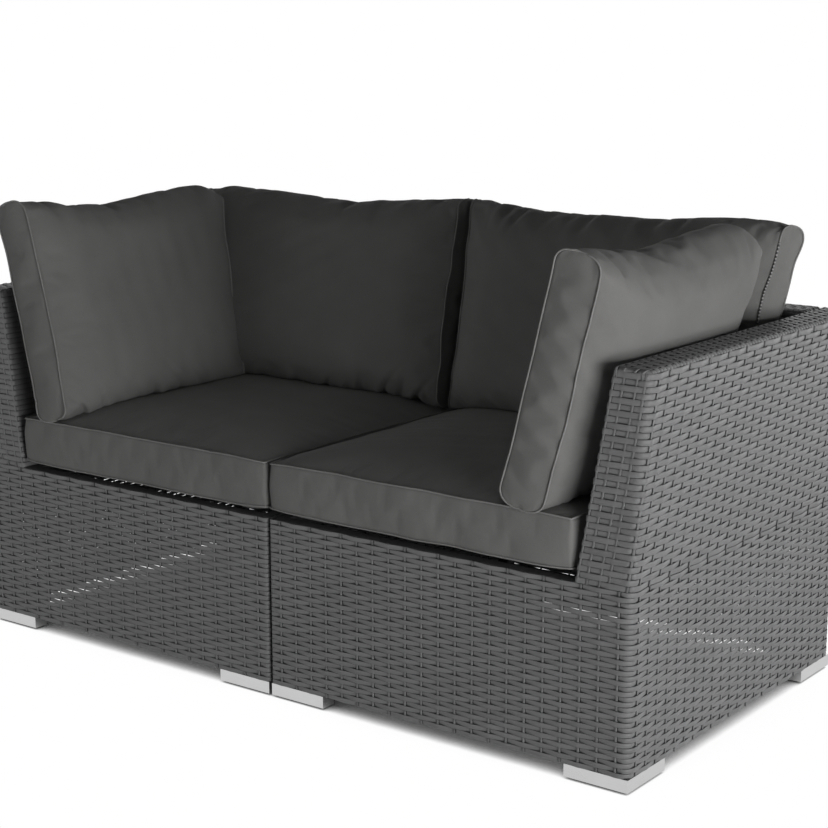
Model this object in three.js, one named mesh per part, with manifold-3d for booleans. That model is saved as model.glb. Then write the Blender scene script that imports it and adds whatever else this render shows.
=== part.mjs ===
// Two-seat woven garden sofa made of two mirrored corner modules that stand side by side.
// Millimetres, +Z up. The seat opens towards -Y and +X is on the right as seen from the front.
// Every plan value below is written for the right-hand module: x grows from the seam between
// the modules to the arm, y grows from the front of the base to the rear. The left-hand module
// is the same set of pieces mirrored.

import * as THREE from 'three';
import { mergeVertices } from 'three/addons/utils/BufferGeometryUtils.js';
import Module from 'manifold-3d';

const wasm = await Module();
wasm.setup();

// Driving dimensions of one module
const moduleWidth = 750;
const moduleDepth = 760;
const moduleGap = 3;
const floorToWeave = 27;
const deckHeight = 336;
const armHeight = 690;
const armThickness = 110;

// How far each face of the arm and the back leans by the time it reaches the top
const innerLean = 57;
const outerLean = 19;
const frontLean = 11;

// Clearance between pieces that touch
const fit = 0.3;

// Woven walls and the woven tops of the arm and the back
const weaveThickness = 5;
const cornerRadius = 18;
const topThickness = 14;
const topEdgeRadius = 9;
const cornerSteps = 3;

// Rows of strip on the woven walls, with a groove between each row and the next
const baseRowPitch = 8.6;
const upperRowPitch = 10.2;
const rowGroove = 1.2;

// Square tube of the welded frames
const tubeSize = 22;

// Slatted deck under the seat cushion
const deckThickness = 8;
const deckBorder = 22;
const slatWidth = 32;
const slatCount = 7;

// Corner feet, with the web that carries the levelling glide
const footLength = 120;
const footArmWidth = 30;
const footWebReach = 95;
const footInset = 2;
const glideOffset = 46;
const glideRadius = 34;
const glideThickness = 4.4;
const glideChamfer = 1;
const stemRadius = 4;
const stemChamfer = 0.8;
const stemShortfall = 1;
const roundSteps = 16;

// Clips that hold the two modules together under the seam
const clipThickness = 3;
const clipLength = 40;
const clipGrip = 16;
const clipInset = 190;

// Seat cushion
const seat = {
  sideGap: 1.8,
  rearGap: 4,
  frontOverhang: 0,
  seamRise: 14,
  gusset: 86,
  crownAbove: 21,
  crownBelow: 14,
  drawInEnds: 4,
  drawInEdges: 4,
  cornerPinch: 10,
  gussetBulge: 3,
};

// Back cushion, standing on the seat cushion and leaning on the back
const back = {
  height: 426,
  topOverhang: 60,
  sideGap: 3,
  gusset: 90,
  crownFront: 28,
  crownRear: 38,
  drawInEnds: 9,
  drawInEdges: 20,
  cornerPinch: 12,
  gussetBulge: 4,
  lean: 71,
  restGap: 0.5,
};

// Side cushion, standing on the seat cushion and leaning on the arm
const side = {
  height: 434,
  rearRoom: 152,
  topOverhang: 34,
  frontOverhang: 8,
  gusset: 90,
  crownFront: 26,
  crownRear: 44,
  drawInEnds: 8,
  drawInEdges: 16,
  cornerPinch: 12,
  gussetBulge: 4,
  lean: 76,
  restGap: 0.5,
};

// How deep the standing cushions settle into the crown of the seat cushion
const settle = 18;

// Cells of a cushion face along each side, and rings round its gusset
const faceCells = 12;
const gussetRings = 3;

// Faces of the right-hand module, as x or y at a height
const seamX = moduleGap / 2;
const outerX = seamX + moduleWidth;
const rise = (z) => (z - deckHeight) / (armHeight - deckHeight);
const armInnerX = (z) => outerX - armThickness + innerLean * rise(z);
const armOuterX = (z) => outerX + outerLean * rise(z);
const armFrontY = (z) => frontLean * rise(z);
const backInnerY = (z) => moduleDepth - armThickness + innerLean * rise(z);
const backRearY = (z) => moduleDepth + outerLean * rise(z);

// Depth from a woven face to the tube behind it
const lay = weaveThickness + fit;

const finishes = {
  weave: new THREE.MeshStandardMaterial({ color: 0x57585a, roughness: 0.55, metalness: 0 }),
  frame: new THREE.MeshStandardMaterial({ color: 0x1b1b1c, roughness: 0.5, metalness: 0.6 }),
  foot: new THREE.MeshStandardMaterial({ color: 0xb9bbbd, roughness: 0.35, metalness: 0.9 }),
  glide: new THREE.MeshStandardMaterial({ color: 0x141414, roughness: 0.6, metalness: 0 }),
  clip: new THREE.MeshStandardMaterial({ color: 0x202122, roughness: 0.55, metalness: 0 }),
  fabric: new THREE.MeshStandardMaterial({ color: 0x4b4b4c, roughness: 0.95, metalness: 0 }),
};

// Closed solids and the joins and cuts between them

function toSolid(geometry) {
  const bare = geometry.clone();
  bare.deleteAttribute('normal');
  bare.deleteAttribute('uv');
  const merged = mergeVertices(bare);
  return new wasm.Manifold(new wasm.Mesh({
    numProp: 3,
    vertProperties: new Float32Array(merged.attributes.position.array),
    triVerts: new Uint32Array(merged.index.array),
  }));
}

function toGeometry(solid) {
  const mesh = solid.getMesh();
  const geometry = new THREE.BufferGeometry();
  geometry.setAttribute('position', new THREE.BufferAttribute(mesh.vertProperties, 3));
  geometry.setIndex(new THREE.BufferAttribute(mesh.triVerts, 1));
  geometry.computeVertexNormals();
  return geometry;
}

function joined(geometries) {
  return toGeometry(geometries.map(toSolid).reduce((whole, piece) => whole.add(piece)));
}

function cutBy(geometry, tool) {
  return toGeometry(toSolid(geometry).subtract(toSolid(tool)));
}

function keptWithin(geometry, limit) {
  return toGeometry(toSolid(geometry).intersect(toSolid(limit)));
}

// Mirrors a geometry across the planes whose sign is -1, keeping its faces pointing out
function mirrored(geometry, signX, signY = 1) {
  const copy = geometry.clone().scale(signX, signY, 1);
  if (signX * signY < 0) {
    const index = copy.index.array;
    for (let i = 0; i < index.length; i += 3) {
      [index[i], index[i + 1]] = [index[i + 1], index[i]];
    }
  }
  copy.computeVertexNormals();
  return copy;
}

// Outlines are counter-clockwise lists of [x, y]

function arc(centreX, centreY, radius, fromAngle, toAngle) {
  const points = [];
  for (let i = 0; i <= cornerSteps; i += 1) {
    const angle = fromAngle + (toAngle - fromAngle) * (i / cornerSteps);
    points.push([centreX + radius * Math.cos(angle), centreY + radius * Math.sin(angle)]);
  }
  return points;
}

function rectangle(x0, y0, x1, y1) {
  return [[x0, y0], [x1, y0], [x1, y1], [x0, y1]];
}

function roundedRectangle(x0, y0, x1, y1, radius) {
  return [
    ...arc(x0 + radius, y0 + radius, radius, Math.PI, Math.PI * 1.5),
    ...arc(x1 - radius, y0 + radius, radius, Math.PI * 1.5, Math.PI * 2),
    ...arc(x1 - radius, y1 - radius, radius, 0, Math.PI / 2),
    ...arc(x0 + radius, y1 - radius, radius, Math.PI / 2, Math.PI),
  ];
}

// A wall seen from above that turns round a corner at each end. Its returns run towards +Y
// from the face at y where inward is 1, and towards -Y where inward is -1. Like every wall
// before its rows are cut, it stands out of its face by its own thickness.
function wrappedWall(x0, x1, y, inward) {
  const bend = (radius) => [
    ...arc(x0 + cornerRadius, cornerRadius, radius, Math.PI, Math.PI * 1.5),
    ...arc(x1 - cornerRadius, cornerRadius, radius, Math.PI * 1.5, Math.PI * 2),
  ];
  const outline = [
    ...bend(cornerRadius + weaveThickness),
    ...bend(cornerRadius - weaveThickness).reverse(),
  ];
  const placed = outline.map(([px, depth]) => [px, y + inward * depth]);
  return inward > 0 ? placed : placed.reverse();
}

// A closed solid through outlines of one point count, one at each height, with flat ends
function loft(heights, outlineAt) {
  const layers = heights.map((z) => outlineAt(z).map(([x, y]) => new THREE.Vector3(x, y, z)));
  const count = layers[0].length;
  const position = layers.flat().flatMap((p) => [p.x, p.y, p.z]);
  const index = [];
  for (let k = 0; k + 1 < layers.length; k += 1) {
    for (let i = 0; i < count; i += 1) {
      const j = (i + 1) % count;
      const low = k * count;
      const high = low + count;
      index.push(low + i, low + j, high + j, low + i, high + j, high + i);
    }
  }
  const cap = (layer) => {
    const flat = layer.map((p) => new THREE.Vector2(p.x, p.y));
    return THREE.ShapeUtils.triangulateShape(flat, []);
  };
  const top = (layers.length - 1) * count;
  for (const [a, b, c] of cap(layers[0])) index.push(c, b, a);
  for (const [a, b, c] of cap(layers[layers.length - 1])) index.push(top + a, top + b, top + c);
  const geometry = new THREE.BufferGeometry();
  geometry.setAttribute('position', new THREE.Float32BufferAttribute(position, 3));
  geometry.setIndex(index);
  geometry.computeVertexNormals();
  return geometry;
}

// Cuts a wall back to its woven faces, whose outline is given at a height and, between one row
// of strip and the next, at the depth of the groove
function inRows([low, high], pitch, wallAt, faceAt) {
  const halfRows = 2 * Math.round((high - low) / pitch);
  const levels = Array.from({ length: halfRows + 1 }, (_, i) => low + (high - low) * (i / halfRows));
  const faces = loft(levels, (z) => {
    const level = levels.indexOf(z);
    const betweenRows = level % 2 === 0 && level > 0 && level < halfRows;
    return faceAt(z, betweenRows ? rowGroove : 0);
  });
  return keptWithin(loft([low, high], wallAt), faces);
}

// Woven base: four walls that stand round the base frame

function wovenBase(wallAt) {
  return inRows([floorToWeave, deckHeight], baseRowPitch, wallAt, (z, depth) => roundedRectangle(
    seamX + depth, depth, outerX - depth, moduleDepth - depth, cornerRadius - depth));
}

function baseFrontWeave() {
  return wovenBase(() => wrappedWall(seamX, outerX, 0, 1));
}

function baseRearWeave() {
  return wovenBase(() => wrappedWall(seamX, outerX, moduleDepth, -1));
}

function baseSideWeave(x0, x1) {
  const front = cornerRadius + fit;
  const rear = moduleDepth - cornerRadius - fit;
  return wovenBase(() => rectangle(x0, front, x1, rear));
}

function baseOuterWeave() {
  return baseSideWeave(outerX - weaveThickness, outerX + weaveThickness);
}

function baseSeamWeave() {
  return baseSideWeave(seamX - weaveThickness, seamX + weaveThickness);
}

// Woven arm and back: leaning walls from the base up to the woven tops

const wallHeights = [deckHeight + fit, armHeight - topThickness - fit];

function wovenArm(wallAt) {
  return inRows(wallHeights, upperRowPitch, wallAt, (z, depth) => roundedRectangle(
    armInnerX(z) + depth, armFrontY(z) + depth,
    armOuterX(z) - depth, backRearY(z) - depth, cornerRadius - depth));
}

function wovenBack(wallAt) {
  return inRows(wallHeights, upperRowPitch, wallAt, (z, depth) => rectangle(
    seamX + depth, backInnerY(z) + depth, armOuterX(z), backRearY(z)));
}

function armFrontWeave() {
  return wovenArm((z) => wrappedWall(armInnerX(z), armOuterX(z), armFrontY(z), 1));
}

function armOuterWeave() {
  return wovenArm((z) => rectangle(
    armOuterX(z) - weaveThickness, armFrontY(z) + cornerRadius + fit,
    armOuterX(z) + weaveThickness, backRearY(z) - cornerRadius - fit));
}

function armInnerWeave() {
  return wovenArm((z) => rectangle(
    armInnerX(z) - weaveThickness, armFrontY(z) + cornerRadius + fit,
    armInnerX(z) + weaveThickness, backInnerY(z) - fit));
}

function backInnerWeave() {
  return wovenBack((z) => rectangle(
    seamX - weaveThickness, backInnerY(z) - weaveThickness,
    armInnerX(z) + weaveThickness, backInnerY(z) + weaveThickness));
}

function backSeamWeave() {
  return wovenBack((z) => rectangle(
    seamX - weaveThickness, backInnerY(z) + weaveThickness + fit,
    seamX + weaveThickness, backRearY(z) - cornerRadius - fit));
}

function backRearWeave() {
  const wallAt = (z) => wrappedWall(seamX, armOuterX(z), backRearY(z), -1);
  return inRows(wallHeights, upperRowPitch, wallAt, (z, depth) => roundedRectangle(
    seamX + depth, backInnerY(z), armOuterX(z) - depth, backRearY(z) - depth,
    cornerRadius - depth));
}

// A woven top whose upper edge is rounded over
function wovenTop(sidesAt) {
  const heights = [armHeight - topThickness];
  const insets = [0];
  for (let i = 0; i <= cornerSteps; i += 1) {
    const angle = (Math.PI / 2) * (i / cornerSteps);
    heights.push(armHeight - topEdgeRadius + topEdgeRadius * Math.sin(angle));
    insets.push(topEdgeRadius - topEdgeRadius * Math.cos(angle));
  }
  return loft(heights, (z) => {
    const inset = insets[heights.indexOf(z)];
    const [x0, y0, x1, y1] = sidesAt(z);
    return roundedRectangle(x0 + inset, y0 + inset, x1 - inset, y1 - inset, cornerRadius - inset);
  });
}

function armTopWeave() {
  return wovenTop((z) => [armInnerX(z), armFrontY(z), armOuterX(z), backRearY(z)]);
}

function backTopWeave() {
  return wovenTop((z) => [seamX, backInnerY(z), armInnerX(z) - fit, backRearY(z)]);
}

// Welded frames. Each member is a straight length of tube that follows the lean of its face.

const frameTop = deckHeight - deckThickness - fit;

// The room inside woven walls, whose inner corners are rounded
function roomInside(heights, sidesAt) {
  return loft(heights, (z) => {
    const [x0, y0, x1, y1] = sidesAt(z);
    return roundedRectangle(x0 + lay, y0 + lay, x1 - lay, y1 - lay, cornerRadius - lay);
  });
}

function baseFrame() {
  const x0 = seamX + lay;
  const x1 = outerX - lay;
  const y0 = lay;
  const y1 = moduleDepth - lay;
  const armRailX = armInnerX(deckHeight) + lay;
  const backRailY = backInnerY(deckHeight) + lay;
  const ring = (z) => [
    loft([z, z + tubeSize], () => rectangle(x0, y0, x1, y0 + tubeSize)),
    loft([z, z + tubeSize], () => rectangle(x0, y1 - tubeSize, x1, y1)),
    loft([z, z + tubeSize], () => rectangle(x0, y0, x0 + tubeSize, y1)),
    loft([z, z + tubeSize], () => rectangle(x1 - tubeSize, y0, x1, y1)),
  ];
  const post = (x, y) => loft([floorToWeave, frameTop], () => (
    rectangle(x, y, x + tubeSize, y + tubeSize)));
  const upper = [frameTop - tubeSize, frameTop];
  const members = joined([
    ...ring(floorToWeave),
    ...ring(frameTop - tubeSize),
    post(x0, y0),
    post(x1 - tubeSize, y0),
    post(x0, y1 - tubeSize),
    post(x1 - tubeSize, y1 - tubeSize),
    loft(upper, () => rectangle(armRailX, y0, armRailX + tubeSize, y1)),
    loft(upper, () => rectangle(x0, backRailY, x1, backRailY + tubeSize)),
  ]);
  const room = roomInside([floorToWeave, frameTop], () => [seamX, 0, outerX, moduleDepth]);
  return keptWithin(members, room);
}

const upperFrameLow = deckHeight - deckThickness;
const upperFrameHigh = armHeight - topThickness - fit;
const lowRail = [upperFrameLow, upperFrameLow + tubeSize];
const highRail = [upperFrameHigh - tubeSize, upperFrameHigh];
const fullHeight = [upperFrameLow, upperFrameHigh];

function armFrame() {
  const outer = (z) => armOuterX(z) - lay;
  const inner = (z) => armInnerX(z) + lay;
  const front = (z) => armFrontY(z) + lay;
  const rear = (z) => backRearY(z) - lay;
  const innerRear = (z) => backInnerY(z) - fit;
  const outerRail = (z) => rectangle(outer(z) - tubeSize, front(z), outer(z), rear(z));
  const innerRail = (z) => rectangle(inner(z), front(z), inner(z) + tubeSize, innerRear(z));
  const tie = (y) => (z) => rectangle(inner(z), y(z), outer(z), y(z) + tubeSize);
  const outerPost = (y) => (z) => rectangle(outer(z) - tubeSize, y(z), outer(z), y(z) + tubeSize);
  const innerPost = (y) => (z) => rectangle(inner(z), y(z), inner(z) + tubeSize, y(z) + tubeSize);
  const rearTieY = (z) => innerRear(z) - tubeSize;
  const middleY = (z) => (front(z) + rearTieY(z)) / 2;
  const members = joined([
    loft(lowRail, outerRail),
    loft(highRail, outerRail),
    loft(lowRail, innerRail),
    loft(highRail, innerRail),
    loft(lowRail, tie(front)),
    loft(highRail, tie(front)),
    loft(lowRail, tie(rearTieY)),
    loft(highRail, tie(rearTieY)),
    loft(fullHeight, outerPost(front)),
    loft(fullHeight, outerPost(middleY)),
    loft(fullHeight, outerPost((z) => rear(z) - tubeSize)),
    loft(fullHeight, innerPost(front)),
    loft(fullHeight, innerPost(middleY)),
    loft(fullHeight, innerPost(rearTieY)),
  ]);
  const room = roomInside(fullHeight, (z) => [
    armInnerX(z), armFrontY(z), armOuterX(z), backRearY(z)]);
  return keptWithin(members, room);
}

function backFrame() {
  const seamEnd = seamX + lay;
  const cornerEnd = (z) => armOuterX(z) - lay - tubeSize - fit;
  const rear = (z) => backRearY(z) - lay;
  const inner = (z) => backInnerY(z) + lay;
  const rearRail = (z) => rectangle(seamEnd, rear(z) - tubeSize, cornerEnd(z), rear(z));
  const innerRail = (z) => rectangle(seamEnd, inner(z), cornerEnd(z), inner(z) + tubeSize);
  const tie = (x) => (z) => rectangle(x(z), inner(z), x(z) + tubeSize, rear(z));
  const rearPost = (x) => (z) => rectangle(x(z), rear(z) - tubeSize, x(z) + tubeSize, rear(z));
  const innerPost = (x) => (z) => rectangle(x(z), inner(z), x(z) + tubeSize, inner(z) + tubeSize);
  const seamPostX = () => seamEnd;
  const armPostX = (z) => armInnerX(z) - tubeSize;
  const cornerPostX = (z) => cornerEnd(z) - tubeSize;
  const middleX = (z) => (seamEnd + armPostX(z)) / 2;
  const members = joined([
    loft(lowRail, rearRail),
    loft(highRail, rearRail),
    loft(lowRail, innerRail),
    loft(highRail, innerRail),
    loft(lowRail, tie(seamPostX)),
    loft(highRail, tie(seamPostX)),
    loft(lowRail, tie(cornerPostX)),
    loft(highRail, tie(cornerPostX)),
    loft(fullHeight, rearPost(seamPostX)),
    loft(fullHeight, rearPost(middleX)),
    loft(fullHeight, rearPost(cornerPostX)),
    loft(fullHeight, innerPost(seamPostX)),
    loft(fullHeight, innerPost(middleX)),
    loft(fullHeight, innerPost(armPostX)),
    loft(fullHeight, innerPost(cornerPostX)),
  ]);
  const room = roomInside(fullHeight, (z) => [seamX, backInnerY(z), armOuterX(z), backRearY(z)]);
  return keptWithin(members, room);
}

// Slatted steel deck, dropped onto the base frame inside the woven walls and the frames above
function seatDeck() {
  const x0 = seamX + lay;
  const y0 = lay;
  const x1 = armInnerX(upperFrameLow) + lay - fit;
  const y1 = backInnerY(upperFrameLow) + lay - fit;
  const deck = new THREE.Shape(rectangle(x0, y0, x1, y1).map(([x, y]) => new THREE.Vector2(x, y)));
  const openDepth = y1 - y0 - deckBorder * 2;
  const slotDepth = (openDepth - slatCount * slatWidth) / (slatCount + 1);
  for (let i = 0; i <= slatCount; i += 1) {
    const low = y0 + deckBorder + i * (slotDepth + slatWidth);
    const slot = rectangle(x0 + deckBorder, low, x1 - deckBorder, low + slotDepth);
    deck.holes.push(new THREE.Path(slot.map(([x, y]) => new THREE.Vector2(x, y))));
  }
  const geometry = new THREE.ExtrudeGeometry(deck, { depth: deckThickness, bevelEnabled: false });
  geometry.translate(0, 0, deckHeight - deckThickness);
  const heights = [deckHeight - deckThickness - fit, deckHeight + fit];
  return keptWithin(geometry, roomInside(heights, () => [seamX, 0, outerX, moduleDepth]));
}

function indexed(geometry) {
  geometry.deleteAttribute('normal');
  geometry.deleteAttribute('uv');
  const merged = mergeVertices(geometry);
  merged.computeVertexNormals();
  return merged;
}

// Corner foot: two short arms along the edges of the base, joined by a web with a threaded hole
function cornerFoot() {
  const outline = new THREE.Shape([
    new THREE.Vector2(0, 0),
    new THREE.Vector2(footLength, 0),
    new THREE.Vector2(footLength, footArmWidth),
    new THREE.Vector2(footWebReach, footArmWidth),
    new THREE.Vector2(footArmWidth, footWebReach),
    new THREE.Vector2(footArmWidth, footLength),
    new THREE.Vector2(0, footLength),
  ]);
  const hole = new THREE.Path();
  hole.absarc(glideOffset, glideOffset, stemRadius + fit, 0, Math.PI * 2, true);
  outline.holes.push(hole);
  const low = glideThickness + fit;
  const depth = floorToWeave - fit - low;
  const geometry = new THREE.ExtrudeGeometry(outline, {
    depth, bevelEnabled: false, curveSegments: roundSteps,
  });
  return indexed(geometry.translate(0, 0, low));
}

// Levelling glide: a round sole with a stem that screws up into the foot
function levellingGlide() {
  const top = floorToWeave - fit - stemShortfall;
  const profile = [
    [0, 0],
    [glideRadius - glideChamfer, 0],
    [glideRadius, glideChamfer],
    [glideRadius, glideThickness - glideChamfer],
    [glideRadius - glideChamfer, glideThickness],
    [stemRadius, glideThickness],
    [stemRadius, top - stemChamfer],
    [stemRadius - stemChamfer, top],
    [0, top],
  ].map(([r, z]) => new THREE.Vector2(r, z));
  const geometry = new THREE.LatheGeometry(profile, roundSteps).rotateX(Math.PI / 2);
  return indexed(geometry.translate(glideOffset, glideOffset, 0));
}

// Clip that grips the lower rails on both sides of the seam from below
function joiningClip(centreY) {
  const grip = seamX + lay + tubeSize + fit;
  const outer = grip + clipThickness;
  const low = floorToWeave - fit - clipThickness;
  const seated = floorToWeave - fit;
  const high = floorToWeave + clipGrip;
  const profile = new THREE.Shape([
    new THREE.Vector2(-outer, low),
    new THREE.Vector2(outer, low),
    new THREE.Vector2(outer, high),
    new THREE.Vector2(grip, high),
    new THREE.Vector2(grip, seated),
    new THREE.Vector2(-grip, seated),
    new THREE.Vector2(-grip, high),
    new THREE.Vector2(-outer, high),
  ]);
  const geometry = new THREE.ExtrudeGeometry(profile, { depth: clipLength, bevelEnabled: false });
  geometry.rotateX(Math.PI / 2);
  return indexed(geometry.translate(0, centreY + clipLength / 2, 0));
}

// Box cushion: two crowned faces joined by a gusset. Its sides draw in between the corners and
// its corners are pinched. Length runs along x, width along y and thickness along z, with the
// gusset centred on z = 0. topExtra widens the +x end from the low y edge to the high y edge.
function boxCushion({ length, width, size, crownHigh, crownLow, topExtra = 0 }) {
  const cornerPower = 8;
  const drawInPower = 3;
  const crownPower = 4;
  const crownRoundness = 0.75;
  const sideAt = (share, half, across, drawIn) => (
    Math.sign(share) * (half * Math.abs(share)
      - drawIn * Math.abs(share) ** drawInPower * (1 - across * across)
      - size.cornerPinch * (Math.abs(share) * Math.abs(across)) ** cornerPower));
  const place = (a, b) => {
    const x = sideAt(a, length / 2, b, size.drawInEnds);
    const y = sideAt(b, width / 2, a, size.drawInEdges);
    const widened = topExtra * ((a + 1) / 2) * ((b + 1) / 2);
    return [x + widened, y];
  };
  const seamHeight = (a, b) => (
    (size.gusset / 2) - (size.cornerPinch / 2) * (Math.abs(a) * Math.abs(b)) ** cornerPower);
  const crown = (a, b) => ((1 - a ** crownPower) * (1 - b ** crownPower)) ** crownRoundness;
  const shareAt = (i) => Math.sin((Math.PI / 2) * (2 * (i / faceCells) - 1));
  const position = [];
  const index = [];
  const stride = faceCells + 1;
  const face = (sign, height) => {
    const first = position.length / 3;
    for (let j = 0; j <= faceCells; j += 1) {
      for (let i = 0; i <= faceCells; i += 1) {
        const [a, b] = [shareAt(i), shareAt(j)];
        const [x, y] = place(a, b);
        position.push(x, y, sign * (seamHeight(a, b) + height * crown(a, b)));
      }
    }
    for (let j = 0; j < faceCells; j += 1) {
      for (let i = 0; i < faceCells; i += 1) {
        const p = first + j * stride + i;
        const [q, r, s] = [p + 1, p + stride + 1, p + stride];
        if (sign > 0) index.push(p, q, r, p, r, s);
        else index.push(p, r, q, p, s, r);
      }
    }
    return first;
  };
  const high = face(1, crownHigh);
  const low = face(-1, crownLow);
  const border = [];
  for (let i = 0; i < faceCells; i += 1) border.push([i, 0]);
  for (let j = 0; j < faceCells; j += 1) border.push([faceCells, j]);
  for (let i = faceCells; i > 0; i -= 1) border.push([i, faceCells]);
  for (let j = faceCells; j > 0; j -= 1) border.push([0, j]);
  const rings = [border.map(([i, j]) => low + j * stride + i)];
  for (let k = 1; k < gussetRings; k += 1) {
    const share = k / gussetRings;
    rings.push(border.map(([i, j]) => {
      const [a, b] = [shareAt(i), shareAt(j)];
      const [x, y] = place(a, b);
      const swell = size.gussetBulge * Math.sin(Math.PI * share);
      const [ox, oy] = [Math.abs(a) === 1 ? a : 0, Math.abs(b) === 1 ? b : 0];
      const norm = Math.hypot(ox, oy);
      const height = seamHeight(a, b) * (2 * share - 1);
      position.push(x + (swell * ox) / norm, y + (swell * oy) / norm, height);
      return position.length / 3 - 1;
    }));
  }
  rings.push(border.map(([i, j]) => high + j * stride + i));
  for (let k = 0; k < gussetRings; k += 1) {
    for (let i = 0; i < border.length; i += 1) {
      const j = (i + 1) % border.length;
      const [a, b, c, d] = [rings[k][i], rings[k][j], rings[k + 1][j], rings[k + 1][i]];
      index.push(a, b, c, a, c, d);
    }
  }
  const geometry = new THREE.BufferGeometry();
  geometry.setAttribute('position', new THREE.Float32BufferAttribute(position, 3));
  geometry.setIndex(index);
  geometry.computeVertexNormals();
  return geometry;
}

const seatBottom = deckHeight + fit;
const seatSeamHigh = seatBottom + seat.seamRise + seat.gusset;
const seatTop = seatSeamHigh + seat.crownAbove;
const standHeight = seatTop - settle;

// Seat cushion, flat underneath where it lies on the deck
function seatCushion() {
  const x0 = seamX + seat.sideGap;
  const x1 = armInnerX(deckHeight) - seat.sideGap;
  const y0 = -seat.frontOverhang;
  const y1 = backInnerY(deckHeight) - seat.rearGap;
  const geometry = boxCushion({
    length: x1 - x0,
    width: y1 - y0,
    size: seat,
    crownHigh: seat.crownAbove,
    crownLow: seat.crownBelow,
  });
  geometry.translate((x0 + x1) / 2, (y0 + y1) / 2, seatBottom + seat.seamRise + seat.gusset / 2);
  const array = geometry.attributes.position.array;
  for (let i = 2; i < array.length; i += 3) array[i] = Math.max(array[i], seatBottom);
  geometry.computeVertexNormals();
  return geometry;
}

// Stands a cushion up on its long edge, leans it and trims its foot to the seat cushion. The
// cushion's length stays along x, its width turns up to z and its first face looks to -Y.
function standing(cushion, size) {
  const angle = Math.atan2(size.lean, armHeight - deckHeight);
  return cushion.rotateX(Math.PI / 2).translate(0, 0, size.height / 2).rotateX(-angle);
}

function trimmedToSeat(cushion) {
  return cutBy(cushion, seatCushion().translate(0, 0, fit));
}

function backCushion() {
  const x0 = seamX + back.sideGap;
  const x1 = armInnerX(deckHeight) - back.sideGap;
  const length = x1 - x0;
  const cushion = standing(boxCushion({
    length,
    width: back.height,
    size: back,
    crownHigh: back.crownFront,
    crownLow: back.crownRear,
    topExtra: back.topOverhang,
  }), back);
  const array = cushion.attributes.position.array;
  let reach = -Infinity;
  for (let i = 0; i < array.length; i += 3) {
    const z = Math.min(array[i + 2] + standHeight, armHeight);
    reach = Math.max(reach, array[i + 1] - backInnerY(z));
  }
  cushion.translate((x0 + x1) / 2, -reach - back.restGap, standHeight);
  return trimmedToSeat(cushion);
}

function sideCushion() {
  const length = backInnerY(deckHeight) + side.frontOverhang - side.rearRoom;
  const flat = boxCushion({
    length,
    width: side.height,
    size: side,
    crownHigh: side.crownFront,
    crownLow: side.crownRear,
    topExtra: side.topOverhang,
  });
  const cushion = standing(mirrored(flat, -1), side).rotateZ(-Math.PI / 2);
  const array = cushion.attributes.position.array;
  let reach = -Infinity;
  for (let i = 0; i < array.length; i += 3) {
    const z = Math.min(array[i + 2] + standHeight, armHeight);
    reach = Math.max(reach, array[i] - armInnerX(z));
  }
  cushion.translate(-reach - side.restGap, length / 2 - side.frontOverhang, standHeight);
  return trimmedToSeat(cushion);
}

// Assembly

const sofa = new THREE.Group();
sofa.name = 'garden_sofa';

function add(name, geometry, material) {
  const mesh = new THREE.Mesh(geometry, material);
  mesh.name = name;
  sofa.add(mesh);
}

const modulePieces = [
  ['base_frame', baseFrame(), finishes.frame],
  ['arm_frame', armFrame(), finishes.frame],
  ['back_frame', backFrame(), finishes.frame],
  ['seat_deck', seatDeck(), finishes.frame],
  ['base_front_weave', baseFrontWeave(), finishes.weave],
  ['base_rear_weave', baseRearWeave(), finishes.weave],
  ['base_outer_weave', baseOuterWeave(), finishes.weave],
  ['base_seam_weave', baseSeamWeave(), finishes.weave],
  ['arm_front_weave', armFrontWeave(), finishes.weave],
  ['arm_outer_weave', armOuterWeave(), finishes.weave],
  ['arm_inner_weave', armInnerWeave(), finishes.weave],
  ['arm_top_weave', armTopWeave(), finishes.weave],
  ['back_inner_weave', backInnerWeave(), finishes.weave],
  ['back_rear_weave', backRearWeave(), finishes.weave],
  ['back_seam_weave', backSeamWeave(), finishes.weave],
  ['back_top_weave', backTopWeave(), finishes.weave],
  ['seat_cushion', seatCushion(), finishes.fabric],
  ['back_cushion', backCushion(), finishes.fabric],
  ['side_cushion', sideCushion(), finishes.fabric],
];

const footPlaces = [
  ['front_seam', seamX + footInset, footInset, 1, 1],
  ['front_outer', outerX - footInset, footInset, -1, 1],
  ['rear_seam', seamX + footInset, moduleDepth - footInset, 1, -1],
  ['rear_outer', outerX - footInset, moduleDepth - footInset, -1, -1],
];

for (const [hand, sign] of [['left', -1], ['right', 1]]) {
  for (const [name, geometry, material] of modulePieces) {
    add(`${hand}_${name}`, mirrored(geometry, sign), material);
  }
  for (const [corner, x, y, signX, signY] of footPlaces) {
    const foot = mirrored(cornerFoot(), signX, signY).translate(x, y, 0);
    const glide = mirrored(levellingGlide(), signX, signY).translate(x, y, 0);
    add(`${hand}_${corner}_foot`, mirrored(foot, sign), finishes.foot);
    add(`${hand}_${corner}_glide`, mirrored(glide, sign), finishes.glide);
  }
}
add('front_joining_clip', joiningClip(clipInset), finishes.clip);
add('rear_joining_clip', joiningClip(moduleDepth - clipInset), finishes.clip);

// The origin is on the floor under the middle of the whole sofa
const bounds = new THREE.Box3().setFromObject(sofa);
sofa.position.y = -(bounds.min.y + bounds.max.y) / 2;

export default sofa;
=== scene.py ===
import math

import bmesh
import bpy
import numpy as np
from bpy.props import FloatProperty, FloatVectorProperty, IntProperty, PointerProperty
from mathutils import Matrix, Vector
from mathutils.bvhtree import BVHTree


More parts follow.
